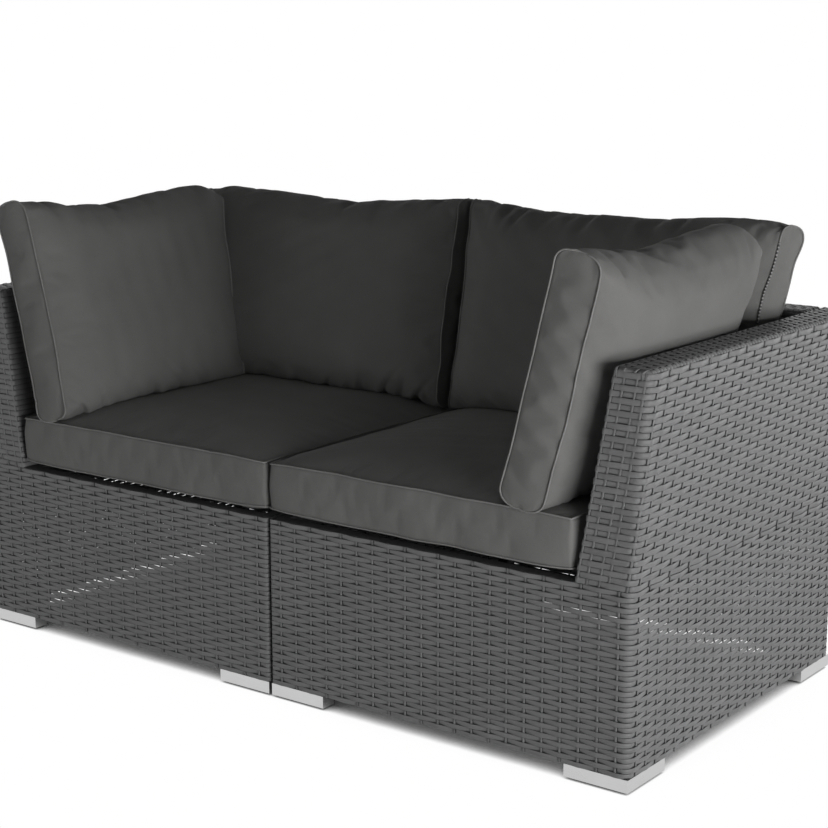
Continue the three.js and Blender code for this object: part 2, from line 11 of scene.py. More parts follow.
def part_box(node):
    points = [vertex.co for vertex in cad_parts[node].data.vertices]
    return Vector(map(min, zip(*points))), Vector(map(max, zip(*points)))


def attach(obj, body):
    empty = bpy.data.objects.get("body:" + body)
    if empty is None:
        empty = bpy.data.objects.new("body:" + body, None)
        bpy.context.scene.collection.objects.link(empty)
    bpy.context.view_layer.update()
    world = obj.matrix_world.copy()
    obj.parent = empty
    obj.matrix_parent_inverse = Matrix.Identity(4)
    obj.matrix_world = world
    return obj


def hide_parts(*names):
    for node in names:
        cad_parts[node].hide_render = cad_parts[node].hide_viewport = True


bl_info = {
    "name": "Rattan Garden Sofa",
    "version": (1, 0, 0),
    "blender": (4, 5, 0),
    "location": "View3D > Sidebar > Garden Sofa",
    "description": "Weaves, upholsters and finishes a two-seat garden sofa round its frame",
    "category": "Object",
}

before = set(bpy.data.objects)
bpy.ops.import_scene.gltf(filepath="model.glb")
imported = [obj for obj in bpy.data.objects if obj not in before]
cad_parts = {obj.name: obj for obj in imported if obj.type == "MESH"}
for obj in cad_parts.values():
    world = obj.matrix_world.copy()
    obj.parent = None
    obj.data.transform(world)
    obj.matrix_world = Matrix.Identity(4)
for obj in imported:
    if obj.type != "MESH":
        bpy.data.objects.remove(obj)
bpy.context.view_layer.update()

MM = 0.001
HANDS = {"left": -1, "right": 1}
RIGHT_ANGLE = math.pi / 2


# Sizes and colours that a user may change

class WeaveSizes(bpy.types.PropertyGroup):
    """Sizes of the woven resin strip, its rows and the stakes that it winds round"""

    strip_thickness: FloatProperty(
        name="Strip thickness", description="Thickness of the flat resin strip",
        default=1.3 * MM, unit="LENGTH")
    row_gap: FloatProperty(
        name="Row gap", description="Open height between two rows of strip",
        default=0.12 * MM, unit="LENGTH")
    wave: FloatProperty(
        name="Wave", description="How far a strip swings to each side of the stakes",
        default=1.8 * MM, unit="LENGTH")
    proud: FloatProperty(
        name="Proud", description="How far the outermost strip stands out of the wall face",
        default=0.3 * MM, unit="LENGTH")
    stake_width: FloatProperty(
        name="Stake width", description="Width of an upright stake",
        default=5 * MM, unit="LENGTH")
    stake_thickness: FloatProperty(
        name="Stake thickness", description="Thickness of an upright stake",
        default=2 * MM, unit="LENGTH")
    base_row: FloatProperty(
        name="Base row", description="Row pitch of the weave round the base",
        default=8.58 * MM, unit="LENGTH")
    arm_row: FloatProperty(
        name="Arm row", description="Row pitch of the weave round arm and back",
        default=10.2 * MM, unit="LENGTH")
    front_pitch: FloatProperty(
        name="Front stake pitch", description="Distance between stakes along front and rear",
        default=35 * MM, unit="LENGTH")
    side_pitch: FloatProperty(
        name="Side stake pitch", description="Distance between stakes along the sides",
        default=32.4 * MM, unit="LENGTH")
    corner_margin: FloatProperty(
        name="Corner margin", description="Distance from a corner to the first stake",
        default=26 * MM, unit="LENGTH")
    corner_radius: FloatProperty(
        name="Corner radius", description="Rounding of the woven corners in plan",
        default=18 * MM, unit="LENGTH")
    seam_radius: FloatProperty(
        name="Seam radius", description="Rounding of the corners beside the other module",
        default=7 * MM, unit="LENGTH")
    top_bend: FloatProperty(
        name="Top bend", description="Radius with which a top rolls over its edges",
        default=6 * MM, unit="LENGTH")


class CushionSizes(bpy.types.PropertyGroup):
    """Sizes of the loose cushions and how full they are"""

    cell: FloatProperty(
        name="Cell", description="Length of a mesh cell of the covers",
        default=6 * MM, min=3 * MM, unit="LENGTH")
    seat_gusset: FloatProperty(
        name="Seat gusset", description="Height of the band round a seat cushion",
        default=86 * MM, unit="LENGTH")
    standing_gusset: FloatProperty(
        name="Standing gusset", description="Width of the end panels of a back or side cushion",
        default=83 * MM, unit="LENGTH")
    welt_radius: FloatProperty(
        name="Welt radius", description="Radius of the sewn edge along each seam",
        default=1.6 * MM, unit="LENGTH")
    pressure: FloatProperty(
        name="Pressure", description="Pressure of the filling while the covers are shaped",
        default=2.5)
    seat_spare: FloatProperty(
        name="Spare seat cloth", description="Share by which seat covers are larger than filled",
        default=0.003)
    standing_spare: FloatProperty(
        name="Spare cloth", description="Share by which standing covers are larger than filled",
        default=0.01)
    largest_move: FloatProperty(
        name="Largest move", description="How far the shaping may move a point of a cover",
        default=10 * MM, unit="LENGTH")
    steps: IntProperty(
        name="Steps", description="Steps of the cloth simulation",
        default=18, min=2)


class Finishes(bpy.types.PropertyGroup):
    """Colours of the sofa's materials"""

    resin: FloatVectorProperty(
        name="Resin strip", description="Colour of the woven strip",
        default=(0.183, 0.183, 0.186), size=3, min=0, max=1, subtype="COLOR")
    fabric: FloatVectorProperty(
        name="Fabric", description="Colour of the cushion covers",
        default=(0.208, 0.207, 0.203), size=3, min=0, max=1, subtype="COLOR")
    silver: FloatVectorProperty(
        name="Silver", description="Colour of the feet",
        default=(0.55, 0.55, 0.55), size=3, min=0, max=1, subtype="COLOR")
    coating: FloatVectorProperty(
        name="Coating", description="Colour of the coated frame tubes and deck",
        default=(0.05, 0.05, 0.052), size=3, min=0, max=1, subtype="COLOR")
    rubber: FloatVectorProperty(
        name="Rubber", description="Colour of the glides and clips",
        default=(0.02, 0.02, 0.02), size=3, min=0, max=1, subtype="COLOR")


class StageSizes(bpy.types.PropertyGroup):
    """Camera, lamps and floor"""

    camera_place: FloatVectorProperty(
        name="Camera place", description="Where the camera stands",
        default=(2.1188, -2.7885, 1.2036), size=3, subtype="TRANSLATION", unit="LENGTH")
    camera_turn: FloatVectorProperty(
        name="Camera turn", description="How the camera is turned",
        default=(math.radians(78.05), 0, math.radians(36.70)), size=3, subtype="EULER")
    lens: FloatProperty(
        name="Lens", description="Focal length of the camera in millimetres",
        default=80.28)
    key_power: FloatProperty(
        name="Key lamp", description="Power of the lamp at the right, in watts",
        default=72)
    front_power: FloatProperty(
        name="Front lamp", description="Power of the lamp in front, in watts",
        default=20)
    rear_power: FloatProperty(
        name="Rear lamp", description="Power of the lamp behind, in watts",
        default=10)
    side_power: FloatProperty(
        name="Side lamp", description="Power of the lamp along the right side, in watts",
        default=32)
    ambient: FloatProperty(
        name="Ambient", description="Strength of the even light from all sides",
        default=0.02)


# Meshes

def piece(name, points, faces, body, finish, replaced, strand):
    """A mesh object that rides on a body of the frame and stands for the nodes it replaces. Its
    strand marks tell the finish how each point lies along, across and among the strips, or
    where it lies on a flat cover."""
    mesh = bpy.data.meshes.new(name)
    mesh.from_pydata(points.tolist(), [], faces)
    mesh.validate()
    mesh.shade_smooth()
    marks = mesh.attributes.new("strand", "FLOAT_VECTOR", "POINT")
    marks.data.foreach_set("vector", strand.astype(np.float32).ravel())
    mesh.materials.append(finish)
    made = bpy.data.objects.new(name, mesh)
    bpy.context.scene.collection.objects.link(made)
    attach(made, body)
    if replaced:
        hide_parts(*replaced)
    return made


def read(items, key):
    """A vector of each item of a mesh, as rows."""
    values = np.empty(len(items) * 3)
    items.foreach_get(key, values)
    return values.reshape(-1, 3)


def read_points(made):
    """Where an object's points are."""
    return read(made.data.vertices, "co")


def read_normals(made):
    """The way that an object's surface faces at its points."""
    return read(made.data.vertices, "normal")


def read_strand(made):
    """The strand marks of an object's points."""
    return read(made.data.attributes["strand"].data, "vector")


def write_points(made, points):
    """Moves an object's points."""
    made.data.vertices.foreach_set("co", points.astype(np.float32).ravel())
    made.data.update()


def tube_faces(rows, samples, section, closed, flipped):
    """Faces of many tubes whose points are stored as rows, samples along and section round:
    quads round each tube, and a cap at each end of an open one."""
    steps = samples if closed else samples - 1
    row, step, side = np.meshgrid(
        np.arange(rows), np.arange(steps), np.arange(section), indexing="ij")
    beyond = (step + 1) % samples
    around = (side + 1) % section

    def index(along, across):
        """Point numbers of all tubes at these steps and sides."""
        return ((row * samples + along) * section + across).ravel()

    quads = [index(step, side), index(beyond, side), index(beyond, around), index(step, around)]
    faces = np.stack(quads[::-1] if flipped else quads, axis=1).tolist()
    if not closed:
        for first in range(0, rows * samples * section, samples * section):
            last = first + (samples - 1) * section
            start = [first + side for side in range(section)]
            end = [last + side for side in range(section)]
            faces.append(start if flipped else start[::-1])
            faces.append(end[::-1] if flipped else end)
    return faces


def flat_section(width, thickness, edge):
    """A flat strip's section as (across, out) points, with its edges narrowed."""
    half = width / 2
    deep = thickness / 2
    return np.array([
        (half, 0),
        (half - edge, deep),
        (edge - half, deep),
        (-half, 0),
        (edge - half, -deep),
        (half - edge, -deep),
    ])


# Woven walls

# How much the edges of strips and stakes are narrowed, and how far a strip strays up or down
STRIP_EDGE = 0.6 * MM
STAKE_EDGE = 1.2 * MM
STRIP_STRAY = 0.2 * MM

# Share by which the swing differs from stake to stake, and the least share that is left of it
# where stakes stand close together
SWING_SPREAD = 0.15
LEAST_SWING = 0.45

# How sharply a strip bends round a stake, and how many levels shape a stake
TAUTNESS = 3
STAKE_LEVELS = 9

# Added to the number in the mark of these pieces, so that their tone differs from the walls'
STAKE_MARK = 0.5
TOP_STRIP_MARK = 0.25
TOP_STAKE_MARK = 0.75


class Ring:
    """The outer face of the woven walls round a frame: straight runs between rounded corners,
    given by their corners in plan at the foot and at the head."""

    def __init__(self, foot, head, low, high, radii):
        self.foot = np.array(foot, float)
        self.head = np.array(head, float)
        self.low = low
        self.high = high
        self.radii = np.array(radii, float)
        self.count = len(foot)

    def corners(self, height):
        """Corners in plan at a height."""
        share = (height - self.low) / (self.high - self.low)
        return self.foot + (self.head - self.foot) * share

    def starts(self, height):
        """How far along the path each corner lies, sharp corners assumed, and each run's length."""
        corners = self.corners(height)
        lengths = np.linalg.norm(np.roll(corners, -1, axis=0) - corners, axis=1)
        return np.concatenate([[0], np.cumsum(lengths)]), lengths

    def at(self, height, distance):
        """Places and outward directions in plan, at distances along the sharp-cornered path."""
        corners = self.corners(height)
        starts, lengths = self.starts(height)
        distance = np.mod(distance, starts[-1])
        run = np.clip(np.searchsorted(starts, distance, side="right") - 1, 0, self.count - 1)
        onto = distance - starts[run]
        after = (run + 1) % self.count
        along = (corners[after] - corners[run]) / lengths[run][:, None]
        place = corners[run] + along * onto[:, None]
        out = np.stack([along[:, 1], -along[:, 0]], axis=1)
        for near, sign, corner in ((onto, 1, run), (lengths[run] - onto, -1, after)):
            turning = near < self.radii[corner]
            radius = self.radii[corner[turning]]
            centre, turn = self.rounding(corners, corner[turning])
            angle = turn * sign * (1 - near[turning] / radius) * RIGHT_ANGLE / -2
            base = out[turning]
            turned = np.stack([
                base[:, 0] * np.cos(angle) - base[:, 1] * np.sin(angle),
                base[:, 0] * np.sin(angle) + base[:, 1] * np.cos(angle)], axis=1)
            place[turning] = centre + turned * (turn * radius)[:, None]
            out[turning] = turned
        return place, out

    def rounding(self, corners, index):
        """Centre and sense of turn of the arcs at these corners."""
        here = corners[index]
        before = corners[index - 1]
        after = corners[(index + 1) % self.count]
        come = here - before
        come /= np.linalg.norm(come, axis=1)[:, None]
        go = after - here
        go /= np.linalg.norm(go, axis=1)[:, None]
        turn = np.sign(come[:, 0] * go[:, 1] - come[:, 1] * go[:, 0])
        return here + (go - come) * self.radii[index][:, None], turn


def reach(node, axis, sign, top):
    """Where a node ends towards one side of an axis, at its lowest or highest points."""
    points = read_points(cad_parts[node])
    level = points[:, 2].max() if top else points[:, 2].min()
    chosen = points[np.abs(points[:, 2] - level) < MM]
    return (sign * chosen[:, axis]).max() * sign


def plan_corners(hand, part, top):
    """Corners of a module's woven walls in plan, as if it were the right one."""
    side = HANDS[hand]
    front = reach(f"{hand}_{part}_front_weave", 1, -1, top)
    outer = reach(f"{hand}_{part}_outer_weave", 0, side, top) * side
    if part == "base":
        rear = reach(f"{hand}_base_rear_weave", 1, 1, top)
        seam = reach(f"{hand}_base_seam_weave", 0, -side, top) * side
        return [(seam, front), (outer, front), (outer, rear), (seam, rear)]
    rear = reach(f"{hand}_back_rear_weave", 1, 1, top)
    seam = reach(f"{hand}_back_seam_weave", 0, -side, top) * side
    inner = reach(f"{hand}_arm_inner_weave", 0, -side, top) * side
    back = reach(f"{hand}_back_inner_weave", 1, -1, top)
    return [(inner, front), (outer, front), (outer, rear), (seam, rear), (seam, back), (inner, back)]


def spread(length, margin, pitch):
    """Evenly spread places along a run, about a pitch apart."""
    count = max(1, round((length - 2 * margin) / pitch))
    return [margin + (length - 2 * margin) * i / count for i in range(count + 1)]


class Stake:
    """An upright stake. Its side, 0 or 1, says whether the first row passes outside or inside
    it. Its place is a share of its run or, where it has none, a distance from the first corner."""

    def __init__(self, side, place, run=None):
        self.side = side
        self.place = place
        self.run = run

    def distance(self, ring, height):
        """How far along the path the stake stands at a height."""
        if self.run is None:
            return self.place
        starts, lengths = ring.starts(height)
        return starts[self.run] + self.place * lengths[self.run]


# Where the stakes of an arm's front face stand, from its inner corner, which of them is on the
# same side as the one before, and where the first stake of the outer side stands
ARM_FRONT_STAKES = [5 * MM, 24 * MM, 47 * MM, 63.5 * MM]
ARM_FRONT_TWIN = 2
FIRST_SIDE_STAKE = 100 * MM

# The runs round arm and back that come after front, outer side and rear: the back's seam end,
# its front, and the arm's inner side
INNER_RUNS = (3, 4, 5)


def base_stakes(ring, sizes):
    """Stakes round the base, each on the other side of the strip than its neighbour."""
    stakes = []
    _, lengths = ring.starts(ring.low)
    pitches = [sizes.front_pitch, sizes.side_pitch, sizes.front_pitch, sizes.side_pitch]
    for run, pitch in enumerate(pitches):
        for place in spread(lengths[run], sizes.corner_margin, pitch):
            stakes.append(Stake(len(stakes) % 2, place / lengths[run], run))
    if len(stakes) % 2:
        stakes.pop()
    return stakes


def arm_stakes(ring, sizes):
    """Stakes round arm and back. Those of the arm's front, outer side and rear keep their
    distance along the strips at every height, so they lean with the arm's inner face."""
    starts, lengths = ring.starts(ring.low)
    side = 0
    stakes = []
    for number, place in enumerate(ARM_FRONT_STAKES):
        side = side if number in (0, ARM_FRONT_TWIN) else 1 - side
        stakes.append(Stake(side, place))
    place = FIRST_SIDE_STAKE
    while place < starts[INNER_RUNS[0]] - sizes.corner_margin:
        side = 1 - side
        stakes.append(Stake(side, place))
        place += sizes.side_pitch
    for run in INNER_RUNS:
        margin = min(sizes.corner_margin, lengths[run] / 4)
        for place in spread(lengths[run], margin, sizes.side_pitch):
            side = 1 - side
            stakes.append(Stake(side, place / lengths[run], run))
    if stakes[-1].side == stakes[0].side:
        stakes.pop()
    return stakes


# Shares of the way from one stake to the next where a strip has a station, on a straight run
# and round a corner
SPAN_SHARES = (0, 0.16, 0.5, 0.84)
CORNER_SHARES = (0, 0.1, 0.2, 0.32, 0.44, 0.56, 0.68, 0.8, 0.9)


def taut(share):
    """Goes from 0 to 1 and is level half way, as a taut strip is that bends sharply round
    thin stakes."""
    turn = np.cos(np.pi * share)
    return (1 - np.sign(turn) * np.abs(turn) ** TAUTNESS) / 2


def closeness(ring, stakes, pitch):
    """How strongly a strip swings at each stake: less where stakes stand close together."""
    at = np.array([stake.distance(ring, ring.low) for stake in stakes])
    gaps = np.mod(np.roll(at, -1) - at, ring.starts(ring.low)[0][-1])
    return np.clip(np.minimum(gaps, np.roll(gaps, 1)) / pitch, LEAST_SWING, 1)


def span_marks(ring, stakes):
    """Stations round the ring: the stake before, the share of the way to the next one."""
    marks = []
    widest = ring.radii.max()
    starts_low, _ = ring.starts(ring.low)
    starts_high, _ = ring.starts(ring.high)
    for number, stake in enumerate(stakes):
        after = stakes[(number + 1) % len(stakes)]
        turns = False
        for height, starts in ((ring.low, starts_low), (ring.high, starts_high)):
            begin = stake.distance(ring, height)
            end = after.distance(ring, height)
            if end < begin:
                end += starts[-1]
            turns = turns or any(begin - widest < corner < end + widest for corner in starts)
        marks += [(number, share) for share in (CORNER_SHARES if turns else SPAN_SHARES)]
    before, share = zip(*marks)
    return np.array(before), np.array(share)


def woven_wall(name, ring, stakes, rows, pitch, low, hand, sizes, replaced, finish):
    """Rows of strip that wind in and out round the stakes, in one piece with the stakes."""
    chance = np.random.default_rng(len(name) + rows)
    before, share = span_marks(ring, stakes)
    after = (before + 1) % len(stakes)
    sides = np.array([1 - 2 * stake.side for stake in stakes])
    ease = taut(share)
    swing = sides[before] * (1 - ease) + sides[after] * ease
    middle = sizes.proud - sizes.wave - sizes.strip_thickness / 2
    close = closeness(ring, stakes, sizes.side_pitch)
    section = flat_section(pitch - sizes.row_gap, sizes.strip_thickness, STRIP_EDGE)

    def places(height):
        """How far along the path each station of a strip lies at a height."""
        at = np.array([stake.distance(ring, height) for stake in stakes])
        starts, _ = ring.starts(height)
        gap = np.mod(at[after] - at[before], starts[-1])
        return at[before] + gap * share

    points = []
    strand = []
    for row in range(rows):
        centre = low + (row + 0.5) * pitch
        alternate = 1 - 2 * (row % 2)
        strength = 1 + SWING_SPREAD * chance.standard_normal(len(stakes)).clip(-2, 2)
        strength *= sizes.wave * close
        loose = strength[before] * (1 - ease) + strength[after] * ease
        lift = STRIP_STRAY * chance.standard_normal(len(stakes)).clip(-1.5, 1.5)
        rise = lift[before] * (1 - ease) + lift[after] * ease
        distance = places(centre)
        loop = np.empty((len(before), len(section), 3))
        for number, (across, out) in enumerate(section):
            place, outward = ring.at(centre + across, distance)
            depth = middle + alternate * swing * loose + out
            loop[:, number, :2] = place + outward * depth[:, None]
            loop[:, number, 2] = centre + across + rise
        points.append(loop)
        mark = np.empty((len(before), len(section), 3))
        mark[:, :, 0] = distance[:, None]
        mark[:, :, 1] = section[None, :, 0]
        mark[:, :, 2] = row
        strand.append(mark)
    points = np.array(points)
    faces = tube_faces(rows, len(before), len(section), True, hand == "right")
    count = points.size // 3

    posts, post_faces, post_strand = upright_stakes(
        ring, stakes, low, low + rows * pitch, middle, hand, sizes)
    faces += [[index + count for index in face] for face in post_faces]
    everything = np.concatenate([points.reshape(-1, 3), posts.reshape(-1, 3)])
    marked = np.concatenate([np.array(strand).reshape(-1, 3), post_strand.reshape(-1, 3)])
    everything[:, 0] *= HANDS[hand]
    piece(name, everything, faces, "sofa_frame", finish, replaced, marked)


def upright_stakes(ring, stakes, low, high, middle, hand, sizes):
    """Flat stakes that follow the walls from bottom to top, inside the weave."""
    section = flat_section(sizes.stake_width, sizes.stake_thickness, STAKE_EDGE)
    levels = np.linspace(low, high, STAKE_LEVELS)
    points = np.empty((len(stakes), len(levels), len(section), 3))
    strand = np.empty(points.shape)
    for level, height in enumerate(levels):
        at = np.array([stake.distance(ring, height) for stake in stakes])
        place, outward = ring.at(height, at)
        along = np.stack([-outward[:, 1], outward[:, 0]], axis=1)
        for number, (across, out) in enumerate(section):
            points[:, level, number, :2] = place + outward * (middle + out) + along * across
            points[:, level, number, 2] = height
            strand[:, level, number, 1] = across
        strand[:, level, :, 0] = height
    strand[:, :, :, 2] = np.arange(len(stakes))[:, None, None] + STAKE_MARK
    faces = tube_faces(len(stakes), len(levels), len(section), False, hand == "left")
    return points, faces, strand


# Woven tops

# How far a top's strips and stakes reach down behind the walls' heads, and how much further in
# its strips lie there than the walls' weave
TOP_DROP = 16 * MM
TOP_TUCK = 1 * MM

# How many points shape each bend of a top, and how many stations a strip has between its bends
BEND_POINTS = 5
TOP_STATIONS = 11

# A top's strips swing by this share of the walls' wave, and come to it over this distance
TOP_SWING = 0.7
TOP_CALM = 8 * MM


def top_depth(sizes):
    """How far the middle of a top's weave lies under its upper face."""
    return sizes.wave + sizes.strip_thickness / 2 - sizes.proud


def over_top(width, top, drop, inset, bend):
    """A top strip's path across the arm or back as (across, height) points: up from behind one
    wall's head, over the edge, across, and down behind the other wall's head."""
    angles = np.linspace(0, RIGHT_ANGLE, BEND_POINTS)
    first = [(inset + bend * (1 - math.cos(a)), top - bend + bend * math.sin(a)) for a in angles]
    second = [(width - across, height) for across, height in reversed(first)]
    return [(inset, top - drop)] + first + second + [(width - inset, top - drop)]


def rolled(distance, length, bend):
    """Where a distance along a top lies whose ends roll down: how far along, how far dropped,
    and the sine and cosine of its tilt."""
    quarter = bend * RIGHT_ANGLE
    total = length - 2 * bend + 2 * quarter
    start = min(max(1 - distance / quarter, 0), 1)
    end = min(max((distance - total) / quarter + 1, 0), 1)
    angle = (end - start) * RIGHT_ANGLE
    level = min(max(distance - quarter, 0), length - 2 * bend)
    beyond = max(-distance, 0) + max(distance - total, 0)
    drop = bend * (1 - math.cos(angle)) + beyond
    return level + bend * (1 + math.sin(angle)), drop, math.sin(angle), math.cos(angle)


def top_strips(place, stake_places, length, width, top, sizes):
    """Strips that lie across a top, winding over and under the stakes that run along it, and
    roll down over both ends of it. place(along, across) gives plan points."""
    bend = sizes.top_bend
    lowered = top_depth(sizes)
    run = length - 2 * lowered
    total = run - 2 * bend + 2 * bend * RIGHT_ANGLE
    rows = int(total / sizes.arm_row)
    pitch = total / rows
    outline = np.array(over_top(width, top - lowered, TOP_DROP, lowered + TOP_TUCK, bend))
    first, second = np.split(outline, 2)
    inner = np.linspace(first[-1, 0], second[0, 0], TOP_STATIONS + 2)[1:-1]
    across = np.concatenate([first[:, 0], inner, second[:, 0]])
    height = np.concatenate([first[:, 1], np.full(len(inner), top - lowered), second[:, 1]])
    stops = np.array([0, *stake_places, width])
    sides = np.array([(-1) ** i for i in range(len(stops))])
    before = np.clip(np.searchsorted(stops, across, side="right") - 1, 0, len(stops) - 2)
    share = (across - stops[before]) / (stops[before + 1] - stops[before])
    ease = taut(share)
    swing = sides[before] * (1 - ease) + sides[before + 1] * ease
    swing *= np.clip((np.minimum(across, width - across) - lowered) / TOP_CALM, 0, 1)
    slope = np.gradient(np.stack([across, height]), axis=1)
    slope /= np.linalg.norm(slope, axis=0)
    normal = np.stack([-slope[1], slope[0]])
    section = flat_section(pitch - sizes.row_gap, sizes.strip_thickness, STRIP_EDGE)
    points = np.empty((rows, len(across), len(section), 3))
    strand = np.empty(points.shape)
    for row in range(rows):
        centre = (row + 0.5) * pitch
        alternate = 1 - 2 * (row % 2)
        for number, (side, out) in enumerate(section):
            along, dip, lean, rise = rolled(centre + side, run, bend)
            shift = alternate * swing * TOP_SWING * sizes.wave + out
            points[row, :, number, :2] = place(
                lowered + along + lean * normal[1] * shift, across + normal[0] * shift)
            points[row, :, number, 2] = height + rise * normal[1] * shift - dip
            strand[row, :, number, 1] = side
        strand[row, :, :, 0] = across[:, None]
        strand[row, :, :, 2] = row + TOP_STRIP_MARK
    return points, strand


def top_stakes(place, stake_places, length, top, sizes):
    """Stakes that run along a top and bend down over its ends."""
    lowered = top_depth(sizes)
    outline = over_top(length, top - lowered, TOP_DROP, lowered, sizes.top_bend)
    along, height = np.array(outline).T
    slope = np.gradient(np.stack([along, height]), axis=1)
    slope /= np.linalg.norm(slope, axis=0)
    section = flat_section(sizes.stake_width, sizes.stake_thickness, STAKE_EDGE)
    points = np.empty((len(stake_places), len(along), len(section), 3))
    strand = np.empty(points.shape)
    for row, at in enumerate(stake_places):
        for number, (side, out) in enumerate(section):
            across = np.full(len(along), at + side)
            points[row, :, number, :2] = place(along - slope[1] * out, across)
            points[row, :, number, 2] = height + slope[0] * out
            strand[row, :, number, 1] = side
        strand[row, :, :, 0] = along[:, None]
        strand[row, :, :, 2] = row + TOP_STAKE_MARK
    return points, strand


def woven_top(name, place, stake_places, length, width, top, hand, sizes, replaced, finish):
    """A woven top in one piece: strips across it and stakes along it."""
    strips, strand = top_strips(place, stake_places, length, width, top, sizes)
    stakes, stake_strand = top_stakes(place, stake_places, length, top, sizes)
    faces = tube_faces(*strips.shape[:3], False, hand == "left")
    count = strips.size // 3
    faces += [[index + count for index in face]
              for face in tube_faces(*stakes.shape[:3], False, hand == "right")]
    points = np.concatenate([strips.reshape(-1, 3), stakes.reshape(-1, 3)])
    points[:, 0] *= HANDS[hand]
    marked = np.concatenate([strand.reshape(-1, 3), stake_strand.reshape(-1, 3)])
    piece(name, points, faces, "sofa_frame", finish, replaced, marked)


# Cushions

# Powers that shape the covers, from 0 in the middle to 1 at an edge: how near to the corners the
# pinch stays, how near to the edges the pull stays, and how round the crown is
PINCH_POWER = 8
PULL_POWER = 3
CROWN_POWER = 0.75

# How far out a crown stays full: of a seat cushion's upper and lower face, and of a standing
# cushion along its length and its height
SEAT_FULLNESS = (4, 14)
LENGTH_FULLNESS = 6
HEIGHT_FULLNESS = 4

# A standing cushion's long edges: their radius as a share of half its thickness, the power that
# makes them rounder or squarer, and the least number of cells round them
ROLL_SHARE = 0.7
ROLL_POWER = 0.8
LEAST_TURNS = 6

# How much of a top edge's sag is lost towards the outer end, the share of half the length over
# which that end droops, and its panel's swell as a share of half the thickness
SAG_LOSS = 0.8
DROOP_SHARE = 0.2
OUTER_SWELL = 0.33


class Cushion:
    """A box cushion: two crowned faces and a gusset between them. Its length runs along x, its
    width along y and its thickness along z, with the gusset centred on z = 0. A place on a face
    is given by a and b, which go from -1 to 1 along x and y."""

    def __init__(self, length, width, gusset, crowns, draw_in, pinch, bulge):
        self.length = length
        self.width = width
        self.gusset = gusset
        self.crowns = crowns
        self.draw_in = draw_in
        self.pinch = pinch
        self.bulge = bulge

    def edge(self, share, half, across, draw_in):
        """One coordinate of a place, with the sides drawn in and the corners pinched."""
        corner = (np.abs(share) * np.abs(across)) ** PINCH_POWER
        pull = draw_in * np.abs(share) ** PULL_POWER * (1 - across * across)
        return np.sign(share) * (half * np.abs(share) - pull - self.pinch * corner)

    def seam(self, a, b):
        """Half the height of the gusset, which is less at the corners."""
        return self.gusset / 2 - self.pinch / 2 * (np.abs(a) * np.abs(b)) ** PINCH_POWER

    def surface(self, cell):
        """Points and faces of the cushion's cover, and the loops of its seams."""
        cells = round(self.length / cell)
        rings = round(self.gusset / cell)
        shares = eased_shares(cells)
        a, b = np.meshgrid(shares, shares)
        x = self.edge(a, self.length / 2, b, self.draw_in[0])
        y = self.edge(b, self.width / 2, a, self.draw_in[1])
        points = []
        for sign, height, full in zip((1, -1), self.crowns, SEAT_FULLNESS):
            crown = ((1 - a ** full) * (1 - b ** full)) ** CROWN_POWER
            z = sign * (self.seam(a, b) + height * crown)
            points.append(np.stack([x, y, z], axis=-1).reshape(-1, 3))
        stride = cells + 1
        border = [(0, i) for i in range(cells)] + [(i, cells) for i in range(cells)]
        border += [(cells, i) for i in range(cells, 0, -1)] + [(i, 0) for i in range(cells, 0, -1)]
        loop = np.array([j * stride + i for j, i in border])
        edge_a = a.ravel()[loop]
        edge_b = b.ravel()[loop]
        out = np.stack([np.where(np.abs(edge_a) == 1, edge_a, 0),
                        np.where(np.abs(edge_b) == 1, edge_b, 0)], axis=1)
        out /= np.linalg.norm(out, axis=1)[:, None]
        rim = points[0][loop]
        face = stride * stride
        loops = [face + loop]
        for ring in range(1, rings):
            share = ring / rings
            swell = self.bulge * math.sin(math.pi * share)
            height = self.seam(edge_a, edge_b) * (2 * share - 1)
            start = sum(len(p) for p in points)
            points.append(np.column_stack([rim[:, :2] + out * swell, height]))
            loops.append(np.arange(start, start + len(loop)))
        loops.append(loop)
        faces = grid_faces(np.arange(face).reshape(stride, stride))
        faces += grid_faces(face + np.arange(face).reshape(stride, stride).T)
        faces += grid_faces(np.array([np.append(ring, ring[0]) for ring in loops]))
        return np.concatenate(points), faces, [loops[0], loops[-1]]


